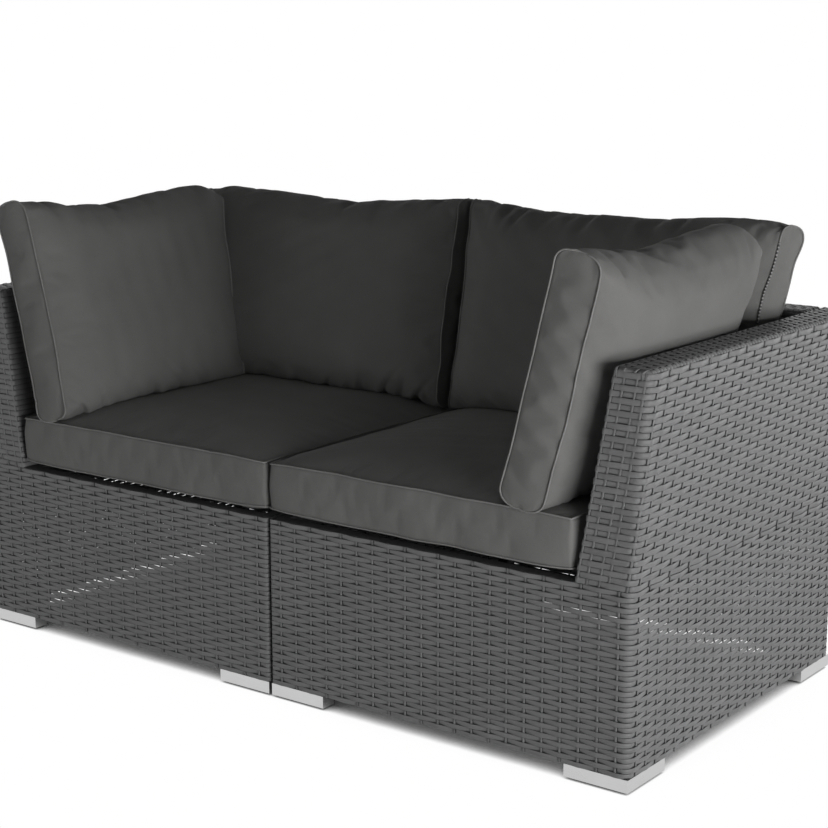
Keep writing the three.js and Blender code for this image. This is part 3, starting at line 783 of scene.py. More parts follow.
class WrappedCushion:
    """A cushion whose cover wraps round its long edges without a seam and is sewn to a panel at
    each end. Its length runs along x, its height along y and its thickness along z. Its top edge
    sags in the middle, slopes and droops towards the outer end and widens there, and its front
    may step back at the first end."""

    def __init__(self, length, height, thickness, crowns, end_draw, sag, slope, droop, widen,
                 step_back):
        self.length = length
        self.half_height = height / 2
        self.half_thickness = thickness / 2
        self.crowns = crowns
        self.end_draw = end_draw
        self.sag = sag
        self.slope = slope
        self.droop = droop
        self.widen = widen
        self.step_back = step_back

    def outline(self, cell):
        """Half of the section, from the middle of its top edge down to that of its foot."""
        height, half = self.half_height, self.half_thickness
        radius = half * ROLL_SHARE
        turns = max(LEAST_TURNS, round(2 * half / cell))
        top = []
        for angle in np.linspace(0, RIGHT_ANGLE, turns + 1):
            rise = radius * math.cos(angle) ** ROLL_POWER
            top.append((height - radius + rise, half * math.sin(angle) ** ROLL_POWER))
        steps = round(2 * (height - radius) / cell)
        face = [(y, half) for y in np.linspace(height - radius, radius - height, steps + 1)[1:-1]]
        return np.array(top + face + [(-y, z) for y, z in reversed(top)])

    def place(self, a, y, z):
        """Points of the filled cover, from a place a along it and a point of its section."""
        b = np.clip(y / self.half_height, -1, 1)
        top = np.clip(b, 0, 1) ** PULL_POWER
        crown = ((1 - a ** LENGTH_FULLNESS) * (1 - b ** HEIGHT_FULLNESS)) ** CROWN_POWER
        deep = np.where(z > 0, self.crowns[0], self.crowns[1]) / self.half_thickness
        pull = self.end_draw * np.sign(a) * np.abs(a) ** PULL_POWER * (1 - b * b)
        wider = self.widen * (a + 1) / 2 * (b + 1) / 2
        x = self.length / 2 * a - pull + wider
        drop = self.slope * (a + 1) / 2 + self.sag * (1 - a * a) ** 2 * (1 - SAG_LOSS * a)
        drop = drop + self.droop * np.clip((a - (1 - DROOP_SHARE)) / DROOP_SHARE, 0, 1) ** 2
        back = self.step_back * (1 - a) / 2 * np.clip(z / self.half_thickness, 0, 1)
        return np.stack([x, y - top * drop, z * (1 + crown * deep) - back], axis=-1)

    def surface(self, cell):
        """Points and faces of the cushion's cover, and the loops of its seams."""
        half = self.outline(cell)
        count = len(half)
        ring = np.concatenate([half, half[-2:0:-1] * (1, -1)])
        stations = eased_shares(round(self.length / cell))
        a = stations[None, :]
        points = self.place(a, ring[:, :1], ring[:, 1:])
        wrap = np.arange(points.shape[0] * points.shape[1]).reshape(points.shape[:2])
        faces = grid_faces(np.concatenate([wrap, wrap[:1]]))
        points = [points.reshape(-1, 3)]
        total = len(points[0])
        across = round(2 * self.half_thickness / cell)
        t = np.linspace(1, -1, across + 1)[1:-1]
        outer_swell = self.half_thickness * OUTER_SWELL
        for end, column, swell in ((-1, 0, self.end_draw), (1, -1, outer_swell)):
            y = half[1:-1, :1]
            z = half[1:-1, 1:] * t
            panel = self.place(np.array(float(end)), np.broadcast_to(y, z.shape), z)
            full = 1 - (y / self.half_height) ** 2
            panel[..., 0] += end * swell * (1 - t * t) * full
            inner = total + np.arange(z.size).reshape(z.shape)
            front = wrap[1:count - 1, column]
            rear = wrap[:count - 1:-1, column]
            faces += grid_faces(np.column_stack([front, inner, rear]))
            for tip, row in ((wrap[0, column], 0), (wrap[count - 1, column], -1)):
                edge = [front[row], *inner[row], rear[row]]
                faces += [(tip, p, q) for p, q in zip(edge, edge[1:])]
            points.append(panel.reshape(-1, 3))
            total += z.size
        return np.concatenate(points), faces, [wrap[:, 0], wrap[:, -1]]


def eased_shares(cells):
    """Shares from -1 to 1, closer together towards both ends."""
    even = 0.6
    linear = np.linspace(-1, 1, cells + 1)
    return even * linear + (1 - even) * np.sin(RIGHT_ANGLE * linear)


def grid_faces(index):
    """Quads over a grid of vertex numbers."""
    corners = [index[:-1, :-1], index[:-1, 1:], index[1:, 1:], index[1:, :-1]]
    return np.stack([c.ravel() for c in corners], axis=1).tolist()


# The cover cloth in the simulation, and the least length that a move is divided by
CLOTH = {
    "quality": 4,
    "mass": 0.4,
    "tension_stiffness": 20,
    "compression_stiffness": 20,
    "shear_stiffness": 8,
    "bending_stiffness": 0.6,
    "air_damping": 4,
    "use_pressure": True,
    "vertex_group_mass": "seams",
}
LEAST_LENGTH = 1e-9


def simulate(covers, sizes, spare):
    """Fills the covers with the cloth simulation, their seams held, and keeps the result. No
    point moves further than the largest move."""
    scene = bpy.context.scene
    starts = {}
    for made in covers:
        starts[made.name] = read_points(made)
        cloth = made.modifiers.new("Filling", "CLOTH")
        for key, value in CLOTH.items():
            setattr(cloth.settings, key, value)
        cloth.settings.uniform_pressure_force = sizes.pressure
        cloth.settings.shrink_min = -spare
        cloth.settings.effector_weights.gravity = 0
        cloth.collision_settings.use_collision = False
        cloth.point_cache.frame_start = 1
        cloth.point_cache.frame_end = sizes.steps
    for step in range(1, sizes.steps + 1):
        scene.frame_set(step)
    shown = bpy.context.evaluated_depsgraph_get()
    limit = sizes.largest_move
    for made in covers:
        start = starts[made.name]
        move = read_points(made.evaluated_get(shown)) - start
        far = np.linalg.norm(move, axis=1)
        held = limit * np.tanh(far / limit) / np.maximum(far, LEAST_LENGTH)
        made.modifiers.clear()
        write_points(made, start + move * held[:, None])
    scene.frame_set(1)


# How uneven the covers are: the length of each kind of wave and its height in millimetres, how
# many of each kind are added up, what their sum is divided by, and the share of it that seat
# covers and standing covers get
WAVES = ((220 * MM, 1.6), (90 * MM, 1.0), (45 * MM, 0.7))
WAVES_ADDED = 6
WAVE_DIVISOR = 3
SEAT_UNEVENNESS = 0.6
STANDING_UNEVENNESS = 0.9


def ripples(points, seed, share):
    """Smooth random offsets in all directions, the same for the same seed."""
    chance = np.random.default_rng(seed)
    total = np.zeros(points.shape)
    for wavelength, height in WAVES:
        for _ in range(WAVES_ADDED):
            direction = chance.standard_normal(3)
            direction /= np.linalg.norm(direction)
            phase = chance.uniform(0, 2 * math.pi)
            push = chance.standard_normal(3)
            wave = np.sin(points @ direction * 2 * math.pi / wavelength + phase)
            total += wave[:, None] * push * height * MM / WAVE_DIVISOR
    return total * share


# Point numbers along the seams of each cover
seam_loops = {}


def cover_piece(node, shape, turn, put, seed, sizes, finish):
    """A cushion's cover, turned and put in its place, ready to be filled. Its marks are its
    points as it lies flat."""
    rest, faces, loops = shape.surface(sizes.cell)
    uneven = SEAT_UNEVENNESS if isinstance(shape, Cushion) else STANDING_UNEVENNESS
    points = put((rest + ripples(rest, seed, uneven)) @ turn.T)
    made = piece(f"{node}_cover", points, faces, node, finish, [node], rest)
    outward = bmesh.new()
    outward.from_mesh(made.data)
    bmesh.ops.recalc_face_normals(outward, faces=outward.faces)
    outward.to_mesh(made.data)
    outward.free()
    seams = made.vertex_groups.new(name="seams")
    seams.add([int(i) for loop in loops for i in loop], 1.0, "REPLACE")
    seam_loops[made.name] = loops
    return made


# Sides of the tubes along the seams, and how far a welt stands out as a share of its radius
SEAM_SIDES = 6
WELT_RISE = 0.9

# The zip's radius and how far it stands out, the part of the end seam that counts as its front,
# and how far from the cover's edges it stops
ZIP_RADIUS = 2 * MM
ZIP_RISE = 1.8 * MM
ZIP_FRONT = 20 * MM
ZIP_STOP = 30 * MM


def along_seam(made, loop, radius, rise, closed):
    """Points, marks and faces of a tube that stands on a cover along one of its seams."""
    rim = read_points(made)[loop]
    normals = read_normals(made)[loop]
    tangent = np.roll(rim, -1, axis=0) - np.roll(rim, 1, axis=0)
    if not closed:
        tangent[0] = rim[1] - rim[0]
        tangent[-1] = rim[-1] - rim[-2]
    tangent /= np.linalg.norm(tangent, axis=1)[:, None]
    out = normals - (normals * tangent).sum(1)[:, None] * tangent
    out /= np.linalg.norm(out, axis=1)[:, None]
    side = np.cross(tangent, out)
    angles = np.linspace(0, 2 * math.pi, SEAM_SIDES, endpoint=False)
    rings = [rim + out * (rise + radius * math.cos(t)) + side * radius * math.sin(t)
             for t in angles]
    points = np.stack(rings, axis=1).reshape(-1, 3)
    marks = np.repeat(read_strand(made)[loop], SEAM_SIDES, axis=0)
    return points, marks, tube_faces(1, len(loop), SEAM_SIDES, closed, False)


def welts(made, sizes, finish):
    """A fine sewn edge that stands along the seams of a finished cover."""
    radius = sizes.welt_radius
    first, second = (along_seam(made, loop, radius, radius * WELT_RISE, True)
                     for loop in seam_loops[made.name])
    body = made.name.removesuffix("_cover")
    faces = first[2] + [[index + len(first[0]) for index in face] for face in second[2]]
    points = np.concatenate([first[0], second[0]])
    marks = np.concatenate([first[1], second[1]])
    piece(f"{body}_welts", points, faces, body, finish, [], marks)


def zip_teeth(made, finish):
    """The zip that runs up the front seam at the outer end of a back cushion."""
    loop = seam_loops[made.name][1]
    rest = read_strand(made)[loop]
    inside = np.abs(rest[:, 1]) < rest[:, 1].max() - ZIP_STOP
    front = loop[(rest[:, 2] > ZIP_FRONT) & inside]
    points, marks, faces = along_seam(made, front, ZIP_RADIUS, ZIP_RISE, False)
    body = made.name.removesuffix("_cover")
    piece(f"{body}_zip", points, faces, body, finish, [], marks)


# How far standing covers stay off the seat covers and the walls, and how far above a seat cover
# the search for its surface starts
SEAT_GAP = 0.5 * MM
WALL_GAP = 0.8 * MM
SEARCH_HEIGHT = 1


def settle_on(made, supports, gap):
    """Flattens a cover where it would reach into the covers that it stands on."""
    points = read_points(made)
    down = Vector((0, 0, -1))
    for support in supports:
        mesh = support.data
        tree = BVHTree.FromPolygons(
            [v.co for v in mesh.vertices], [p.vertices for p in mesh.polygons])
        top = max(v.co.z for v in mesh.vertices) + gap
        for index in np.nonzero(points[:, 2] < top)[0]:
            x, y, z = points[index]
            hit = tree.ray_cast(Vector((x, y, top + SEARCH_HEIGHT)), down)[0]
            if hit is not None and z < hit.z + gap:
                points[index, 2] = hit.z + gap
    write_points(made, points)


def lean_on(made, axis, sign, foot, head, low, high, gap):
    """Flattens a cover where it would reach into a wall that leans from foot to head, which are
    its places on the axis at the heights low and high."""
    points = read_points(made)
    share = (np.minimum(points[:, 2], high) - low) / (high - low)
    limit = sign * (foot + (head - foot) * share) - gap
    beyond = (sign * points[:, axis] > limit) & (points[:, 2] < high)
    points[beyond, axis] = sign * limit[beyond]
    write_points(made, points)


# Finishes

def add(tree, kind, inputs=(), **settings):
    """A shader node with its settings, and its inputs linked or set."""
    node = tree.nodes.new(kind)
    for key, value in settings.items():
        setattr(node, key, value)
    for key, value in dict(inputs).items():
        if isinstance(value, bpy.types.NodeSocket):
            tree.links.new(value, node.inputs[key])
        else:
            node.inputs[key].default_value = value
    return node


def new_finish(name):
    """A new material without nodes, and its node tree."""
    made = bpy.data.materials.new(name)
    made.use_nodes = True
    made.node_tree.nodes.clear()
    return made, made.node_tree


def finish_with(tree, inputs):
    """Ends a material's nodes with a surface that has these inputs."""
    shader = add(tree, "ShaderNodeBsdfPrincipled", inputs)
    add(tree, "ShaderNodeOutputMaterial", {"Surface": shader.outputs["BSDF"]})


def tinted(tree, colour, low, high, factor):
    """A colour that goes from a darker to a lighter share of itself."""
    dark = (*[c * low for c in colour], 1)
    light = (*[c * high for c in colour], 1)
    mixed = add(tree, "ShaderNodeMix", {6: dark, 7: light, 0: factor}, data_type="RGBA")
    return mixed.outputs[2]


def stretched(tree, coordinates, scale):
    """Coordinates with each axis scaled by itself."""
    mapping = add(tree, "ShaderNodeMapping", {"Vector": coordinates, "Scale": scale})
    return mapping.outputs["Vector"]


def resin_finish(finishes):
    """Extruded resin strip: streaks along the strip, tone that differs from strip to strip, and
    painted shade that darkens its colour where strips and stakes meet."""
    made, tree = new_finish("woven_resin_strip")
    strand = add(tree, "ShaderNodeAttribute", attribute_name="strand").outputs["Vector"]
    streaks = add(tree, "ShaderNodeTexNoise", {
        "Vector": stretched(tree, strand, (14, 1400, 3.7)),
        "Scale": 1.0, "Detail": 3.0, "Roughness": 0.6})
    blotches = add(tree, "ShaderNodeTexNoise", {
        "Vector": stretched(tree, strand, (9, 30, 1.31)), "Scale": 1.0, "Detail": 1.0})
    blend = add(tree, "ShaderNodeMath", {
        0: streaks.outputs["Fac"], 1: blotches.outputs["Fac"]}, operation="MULTIPLY")
    widened = add(tree, "ShaderNodeMapRange", {
        "Value": blend.outputs[0], "From Min": 0.1, "From Max": 0.42})
    rough = add(tree, "ShaderNodeMapRange", {
        "Value": streaks.outputs["Fac"], "From Min": 0.3, "From Max": 0.7,
        "To Min": 0.46, "To Max": 0.6})
    bump = add(tree, "ShaderNodeBump", {
        "Height": streaks.outputs["Fac"], "Strength": 0.35, "Distance": 0.3 * MM})
    # Painted shade: the ambient occlusion within a few millimetres darkens the colour in the
    # crevices between strips and stakes
    openness = add(tree, "ShaderNodeAmbientOcclusion", {"Distance": 4 * MM}, samples=6)
    crevice_painted_shade = add(tree, "ShaderNodeMapRange", {
        "Value": openness.outputs["AO"], "From Min": 0.5, "From Max": 0.84, "To Min": 0.04})
    colour = add(tree, "ShaderNodeVectorMath", {
        0: tinted(tree, finishes.resin, 0.78, 1.12, widened.outputs[0]),
        "Scale": crevice_painted_shade.outputs[0]}, operation="SCALE")
    finish_with(tree, {
        "Base Color": colour.outputs[0],
        "Roughness": rough.outputs[0],
        "Normal": bump.outputs["Normal"],
        "Specular IOR Level": 0.4,
    })
    return made


def fabric_finish(name, finishes, share):
    """Plain woven cover cloth: crossing threads, a faint fleck and soft uneven tone, in a share
    of the fabric's colour."""
    made, tree = new_finish(name)
    cover = add(tree, "ShaderNodeAttribute", attribute_name="strand").outputs["Vector"]
    thread = 1.1 * MM
    turns = add(tree, "ShaderNodeVectorMath", {
        0: cover, 1: (2 * math.pi / thread,) * 3}, operation="MULTIPLY")
    waves = add(tree, "ShaderNodeVectorMath", {0: turns.outputs[0]}, operation="SINE")
    axes = add(tree, "ShaderNodeSeparateXYZ", {"Vector": waves.outputs[0]})
    level = add(tree, "ShaderNodeMath", {
        0: axes.outputs["X"], 1: axes.outputs["Z"]}, operation="ADD")
    crossing = add(tree, "ShaderNodeMath", {
        0: level.outputs[0], 1: axes.outputs["Y"]}, operation="MULTIPLY")
    fleck = add(tree, "ShaderNodeTexNoise", {
        "Vector": cover, "Scale": 900.0, "Detail": 2.0, "Roughness": 0.6})
    tone = add(tree, "ShaderNodeTexNoise", {
        "Vector": cover, "Scale": 7.0, "Detail": 4.0, "Roughness": 0.55})
    mixed = add(tree, "ShaderNodeMix", {
        0: 0.55, 2: fleck.outputs["Fac"], 3: tone.outputs["Fac"]}, data_type="FLOAT")
    widened = add(tree, "ShaderNodeMapRange", {
        "Value": mixed.outputs[0], "From Min": 0.32, "From Max": 0.68})
    height = add(tree, "ShaderNodeMath", {
        0: crossing.outputs[0], 1: fleck.outputs["Fac"]}, operation="ADD")
    bump = add(tree, "ShaderNodeBump", {
        "Height": height.outputs[0], "Strength": 0.4, "Distance": 0.15 * MM})
    low, high = 0.86 * share, 1.12 * share
    finish_with(tree, {
        "Base Color": tinted(tree, finishes.fabric, low, high, widened.outputs[0]),
        "Roughness": 0.9,
        "Normal": bump.outputs["Normal"],
        "Sheen Weight": 0.04,
        "Sheen Roughness": 0.5,
        "Specular IOR Level": 0.25,
    })
    return made


def zip_finish(finishes):
    """Dark zip teeth with the lighter tape between them, in turn along the seam."""
    made, tree = new_finish("zip_teeth")
    cover = add(tree, "ShaderNodeAttribute", attribute_name="strand").outputs["Vector"]
    axes = add(tree, "ShaderNodeSeparateXYZ", {"Vector": cover})
    pitch = 6.2 * MM
    turn = add(tree, "ShaderNodeMath", {
        0: axes.outputs["Y"], 1: 2 * math.pi / pitch}, operation="MULTIPLY")
    wave = add(tree, "ShaderNodeMath", {0: turn.outputs[0]}, operation="SINE")
    tooth = add(tree, "ShaderNodeMapRange", {
        "Value": wave.outputs[0], "From Min": 0.1, "From Max": 0.5})
    rough = add(tree, "ShaderNodeMapRange", {
        "Value": wave.outputs[0], "From Min": -1.0, "From Max": 1.0,
        "To Min": 0.35, "To Max": 0.8})
    finish_with(tree, {
        "Base Color": tinted(tree, finishes.fabric, 0.05, 1.6, tooth.outputs[0]),
        "Roughness": rough.outputs[0],
    })
    return made


def metal_finish(name, colour, roughness, metallic, grain):
    """Metal or plastic with a fine grain in its tone and surface, and wear in its roughness."""
    made, tree = new_finish(name)
    place = add(tree, "ShaderNodeTexCoord").outputs["Object"]
    noise = add(tree, "ShaderNodeTexNoise", {
        "Vector": stretched(tree, place, grain), "Scale": 1.0, "Detail": 3.0})
    wear = add(tree, "ShaderNodeTexNoise", {"Vector": place, "Scale": 25.0, "Detail": 3.0})
    rough = add(tree, "ShaderNodeMapRange", {
        "Value": wear.outputs["Fac"], "From Min": 0.3, "From Max": 0.7,
        "To Min": roughness - 0.06, "To Max": roughness + 0.08})
    bump = add(tree, "ShaderNodeBump", {
        "Height": noise.outputs["Fac"], "Strength": 0.2, "Distance": 0.1 * MM})
    finish_with(tree, {
        "Base Color": tinted(tree, colour, 0.88, 1.06, noise.outputs["Fac"]),
        "Roughness": rough.outputs[0],
        "Metallic": metallic,
        "Normal": bump.outputs["Normal"],
    })
    return made


def shared(name, make):
    """The material of that name, made the first time it is asked for."""
    return bpy.data.materials.get(name) or make()


# How much lighter a welt's colour is than its cover's, a painted highlight along the proud welts
WELT_PAINTED_HIGHLIGHT = 1.35


def woven_resin():
    """The finish of all strips and stakes."""
    finishes = bpy.context.scene.sofa_finishes
    return shared("woven_resin_strip", lambda: resin_finish(finishes))


def cover_fabric():
    """The finish of all covers."""
    finishes = bpy.context.scene.sofa_finishes
    return shared("cover_fabric", lambda: fabric_finish("cover_fabric", finishes, 1))


def welt_fabric():
    """The finish of all welts: the cover's cloth made lighter, a painted highlight."""
    finishes = bpy.context.scene.sofa_finishes
    return shared("welt_fabric", lambda: fabric_finish("welt_fabric", finishes, WELT_PAINTED_HIGHLIGHT))


def zip_metal():
    """The finish of both zips."""
    finishes = bpy.context.scene.sofa_finishes
    return shared("zip_teeth", lambda: zip_finish(finishes))


# Operators for the weave

# How far the arm's and back's walls stop under their tops at least
HEAD_ROOM = 5 * MM

# Where the first stake of an arm's top stands from its inner side, and where those of a back's
# top stand, as shares of its depth
FIRST_TOP_STAKE = 8 * MM
BACK_TOP_STAKES = (0.16, 0.38, 0.62, 0.84)


class WeaveBases(bpy.types.Operator):
    """Weave the walls round the base of both modules"""

    bl_idname = "garden_sofa.weave_bases"
    bl_label = "Weave bases"

    def execute(self, context):
        sizes = context.scene.sofa_weave
        for hand in HANDS:
            low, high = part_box(f"{hand}_base_front_weave")
            outer, seam = sizes.corner_radius, sizes.seam_radius
            ring = Ring(plan_corners(hand, "base", False), plan_corners(hand, "base", True),
                        low.z, high.z, [seam, outer, outer, seam])
            rows = round((high.z - low.z) / sizes.base_row)
            replaced = [f"{hand}_base_{wall}_weave" for wall in ("front", "outer", "rear", "seam")]
            woven_wall(f"{hand}_base_weave", ring, base_stakes(ring, sizes), rows,
                       (high.z - low.z) / rows, low.z, hand, sizes, replaced, woven_resin())
        return {"FINISHED"}


class WeaveArmsAndBacks(bpy.types.Operator):
    """Weave the leaning walls of the arms and backs of both modules"""

    bl_idname = "garden_sofa.weave_arms_and_backs"
    bl_label = "Weave arms and backs"

    def execute(self, context):
        sizes = context.scene.sofa_weave
        for hand in HANDS:
            low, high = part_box(f"{hand}_arm_front_weave")
            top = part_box(f"{hand}_arm_top_weave")[1].z
            outer, seam = sizes.corner_radius, sizes.seam_radius
            ring = Ring(plan_corners(hand, "arm", False), plan_corners(hand, "arm", True),
                        low.z, high.z, [seam, outer, outer, seam, seam, seam])
            rows = int((top - HEAD_ROOM - low.z) / sizes.arm_row)
            replaced = [f"{hand}_{wall}_weave" for wall in (
                "arm_front", "arm_outer", "arm_inner", "back_inner", "back_rear", "back_seam")]
            woven_wall(f"{hand}_arm_and_back_weave", ring, arm_stakes(ring, sizes), rows,
                       sizes.arm_row, low.z, hand, sizes, replaced, woven_resin())
        return {"FINISHED"}


class WeaveTops(bpy.types.Operator):
    """Weave the tops of the arms and backs of both modules"""

    bl_idname = "garden_sofa.weave_tops"
    bl_label = "Weave tops"

    def execute(self, context):
        sizes = context.scene.sofa_weave
        for hand in HANDS:
            head = plan_corners(hand, "arm", True)
            (inner, front), (outer, _), (_, rear), (seam, _), (_, back), _ = head
            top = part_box(f"{hand}_arm_top_weave")[1].z
            width = outer - inner
            depth = rear - back

            def arm_place(along, across):
                """Along runs from the arm's front, across from its inner side."""
                near = rounded_off(along, sizes.seam_radius)
                far = rounded_off(np.minimum(along, rear - front - along), sizes.corner_radius)
                kept = (width - near - far) / width
                return np.stack([inner + near + across * kept, front + along], axis=1)

            def back_place(along, across):
                """Along runs from the back's seam end, across from its rear."""
                near = rounded_off(along, sizes.seam_radius)
                kept = (depth - 2 * near) / depth
                return np.stack([seam + along, rear - near - across * kept], axis=1)

            arm_stops = [FIRST_TOP_STAKE, *ARM_FRONT_STAKES[1:]]
            woven_top(f"{hand}_arm_top_strips", arm_place, arm_stops, rear - front, width, top,
                      hand, sizes, [f"{hand}_arm_top_weave"], woven_resin())
            back_stops = [depth * share for share in BACK_TOP_STAKES]
            woven_top(f"{hand}_back_top_strips", back_place, back_stops,
                      inner - seam + sizes.wave, depth, top,
                      hand, sizes, [f"{hand}_back_top_weave"], woven_resin())
        return {"FINISHED"}


def rounded_off(distance, radius):
    """How much narrower a top is at a distance from an end with rounded corners."""
    near = radius - np.clip(distance, 0, radius)
    return radius - np.sqrt(radius ** 2 - near ** 2)


# Operators for the cushions

# For each back cushion: its height, how far its top edge sags, how far that edge comes down
# towards its outer end, and how far its front steps back beside the other cushion
BACK_FORMS = {
    "left": (421 * MM, 14 * MM, 10 * MM, 0),
    "right": (419 * MM, 8 * MM, -2 * MM, 24 * MM),
}

# How much shorter a back cushion is than the seat cushion under it
BACK_CLEARANCE = 3 * MM

# Length and height of a side cushion
SIDE_LENGTH = 512 * MM
SIDE_HEIGHT = 432 * MM

# How the standing cushions lean: how far their heads go back over a rise
LEAN_RISE = 354 * MM
BACK_LEAN = 71 * MM
SIDE_LEAN = 88 * MM

# Seeds of what is random in the covers
SEAT_SEED = 11
BACK_SEED = 21
SIDE_SEED = 31
SIDE_FOLD_SEED = 41
BACK_FOLD_SEED = 51


def leaning(lean):
    """Turns a lying cushion up on its long edge and leans it back towards +y."""
    angle = math.atan2(lean, LEAN_RISE)
    up = np.array([[1, 0, 0], [0, 0, -1], [0, 1, 0]], float)
    tilt = np.array([[1, 0, 0],
                     [0, math.cos(angle), math.sin(angle)],
                     [0, -math.sin(angle), math.cos(angle)]])
    return tilt @ up


def against(node, sides):
    """Puts points where a node is, against one side of its box or its middle on each axis."""
    low, high = (np.array(corner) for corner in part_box(node))
    share = (np.array(sides) + 1) / 2

    def put(points):
        """The points, moved there."""
        near = points.min(axis=0)
        far = points.max(axis=0)
        return points + low + (high - low) * share - near - (far - near) * share
    return put


class SeatCushions(bpy.types.Operator):
    """Sew and fill the two seat cushions"""

    bl_idname = "garden_sofa.seat_cushions"
    bl_label = "Seat cushions"

    def execute(self, context):
        sizes = context.scene.sofa_cushions
        covers = []
        for hand, side in HANDS.items():
            node = f"{hand}_seat_cushion"
            low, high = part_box(node)
            shape = Cushion(high.x - low.x, high.y - low.y, sizes.seat_gusset,
                            crowns=(21 * MM, 16 * MM), draw_in=(2 * MM, 3 * MM),
                            pinch=5 * MM, bulge=3 * MM)
            turn = np.diag([side, 1.0, 1.0])
            covers.append(cover_piece(node, shape, turn, against(node, (0, 0, -1)),
                                      SEAT_SEED + side, sizes, cover_fabric()))
        simulate(covers, sizes, sizes.seat_spare)
        for made in covers:
            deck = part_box(made.name.removesuffix("_cover"))[0].z
            points = read_points(made)
            points[:, 2] = np.maximum(points[:, 2], deck)
            write_points(made, points)
            welts(made, sizes, welt_fabric())
        return {"FINISHED"}


class BackCushions(bpy.types.Operator):
    """Sew and fill the two back cushions, which stand on the seat cushions"""

    bl_idname = "garden_sofa.back_cushions"
    bl_label = "Back cushions"

    def execute(self, context):
        sizes = context.scene.sofa_cushions
        covers = []
        for hand, side in HANDS.items():
            node = f"{hand}_back_cushion"
            low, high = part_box(f"{hand}_seat_cushion")
            length = high.x - low.x - BACK_CLEARANCE
            height, sag, slope, step_back = BACK_FORMS[hand]
            shape = WrappedCushion(length, height, sizes.standing_gusset,
                                   crowns=(30 * MM, 40 * MM), end_draw=4 * MM, sag=sag,
                                   slope=slope, droop=8 * MM, widen=56 * MM,
                                   step_back=step_back)
            turn = np.diag([side, 1.0, 1.0]) @ leaning(BACK_LEAN)
            covers.append(cover_piece(node, shape, turn, against(node, (-side, 1, -1)),
                                      BACK_SEED + side, sizes, cover_fabric()))
        stand(covers, sizes, "back_inner", 1, {"left": 1, "right": 1}, BACK_FOLD_SEED)
        for made in covers:
            zip_teeth(made, zip_metal())
        return {"FINISHED"}


class SideCushions(bpy.types.Operator):
    """Sew and fill the two side cushions, which stand against the arms"""

    bl_idname = "garden_sofa.side_cushions"
    bl_label = "Side cushions"

    def execute(self, context):
        sizes = context.scene.sofa_cushions
        covers = []
        for hand, side in HANDS.items():
            node = f"{hand}_side_cushion"
            shape = WrappedCushion(SIDE_LENGTH, SIDE_HEIGHT, sizes.standing_gusset,
                                   crowns=(28 * MM, 34 * MM), end_draw=6 * MM, sag=19 * MM,
                                   slope=3 * MM, droop=26 * MM, widen=44 * MM, step_back=0)
            facing_seat = np.array([[0, 1, 0], [1, 0, 0], [0, 0, 1]], float)
            turn = np.diag([side, 1.0, 1.0]) @ facing_seat @ leaning(SIDE_LEAN)
            covers.append(cover_piece(node, shape, turn, against(node, (side, -1, -1)),
                                      SIDE_SEED + side, sizes, cover_fabric()))
        stand(covers, sizes, "arm_inner", 0, HANDS, SIDE_FOLD_SEED)
        return {"FINISHED"}


def stand(covers, sizes, wall, axis, signs, seed):
    """Fills standing cushions, then rests them on the seat cushions and against a wall, which
    lies to the side that signs give on the axis."""
    simulate(covers, sizes, sizes.standing_spare)
    seats = [bpy.data.objects[f"{hand}_seat_cushion_cover"] for hand in HANDS]
    for number, made in enumerate(covers):
        hand = made.name.split("_")[0]
        sign = signs[hand]
        node = f"{hand}_{wall}_weave"
        low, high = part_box(node)
        foot = reach(node, axis, -sign, False)
        head = reach(node, axis, -sign, True)
        crease(made, seed + number)
        lean_on(made, axis, sign, foot, head, low.z, high.z, WALL_GAP)
        settle_on(made, seats, SEAT_GAP)
        welts(made, sizes, welt_fabric())


# Folds in a standing cover, short soft ones that hang from its head and sharp slanted ones that
# the seat pushes up from its foot: which way they run, how far, how wide and how deep they are,
# and between which slants they lie
FOLDS = (
    (-1, 60 * MM, 7 * MM, 7 * MM, (-0.5, 0.3)),
    (1, 45 * MM, 5.5 * MM, 10 * MM, (-1.3, -0.5)),
)

# How far from the cover's two ends folds start and stop, the distances between them, how much
# of their depth and of their reach they have, and how far from the middle of the thickness they
# reach their depth
FOLDS_START = 60 * MM
FOLDS_STOP = 90 * MM
FOLD_DISTANCES = (35 * MM, 110 * MM)
FOLD_STRENGTHS = (0.2, 1)
FOLD_REACHES = (0.5, 1.1)
FOLD_FACE = 25 * MM

# The ridge beside a fold: its height as a share of the fold's depth, and its place and width as
# multiples of the fold's width
RIDGE_HEIGHT = 0.45
RIDGE_PLACE = 2.2
RIDGE_WIDTH = 1.8


def crease(made, seed):
    """Presses folds into both faces of a standing cover."""
    chance = np.random.default_rng(seed)
    rest = read_strand(made)
    stop = rest[:, 0].max() - FOLDS_STOP
    push = np.zeros(len(rest))
    for face in (1, -1):
        on_face = np.clip(rest[:, 2] * face / FOLD_FACE, 0, 1)
        for upward, reach_up, width, depth, slants in FOLDS:
            edge = rest[:, 1].min() if upward > 0 else rest[:, 1].max()
            away = (rest[:, 1] - edge) * upward
            place = rest[:, 0].min() + FOLDS_START
            while place < stop:
                slope = chance.uniform(*slants)
                strength = chance.uniform(*FOLD_STRENGTHS)
                across = rest[:, 0] - place - slope * away
                beside = (across - RIDGE_PLACE * width) / (RIDGE_WIDTH * width)
                fold = np.exp(-(across / width) ** 2) - RIDGE_HEIGHT * np.exp(-beside ** 2)
                fade = np.exp(-(away / (reach_up * chance.uniform(*FOLD_REACHES))) ** 2)
                push += on_face * fade * fold * strength * depth
                place += chance.uniform(*FOLD_DISTANCES)
    write_points(made, read_points(made) - read_normals(made) * push[:, None])


# Operators for the metalwork and the stage

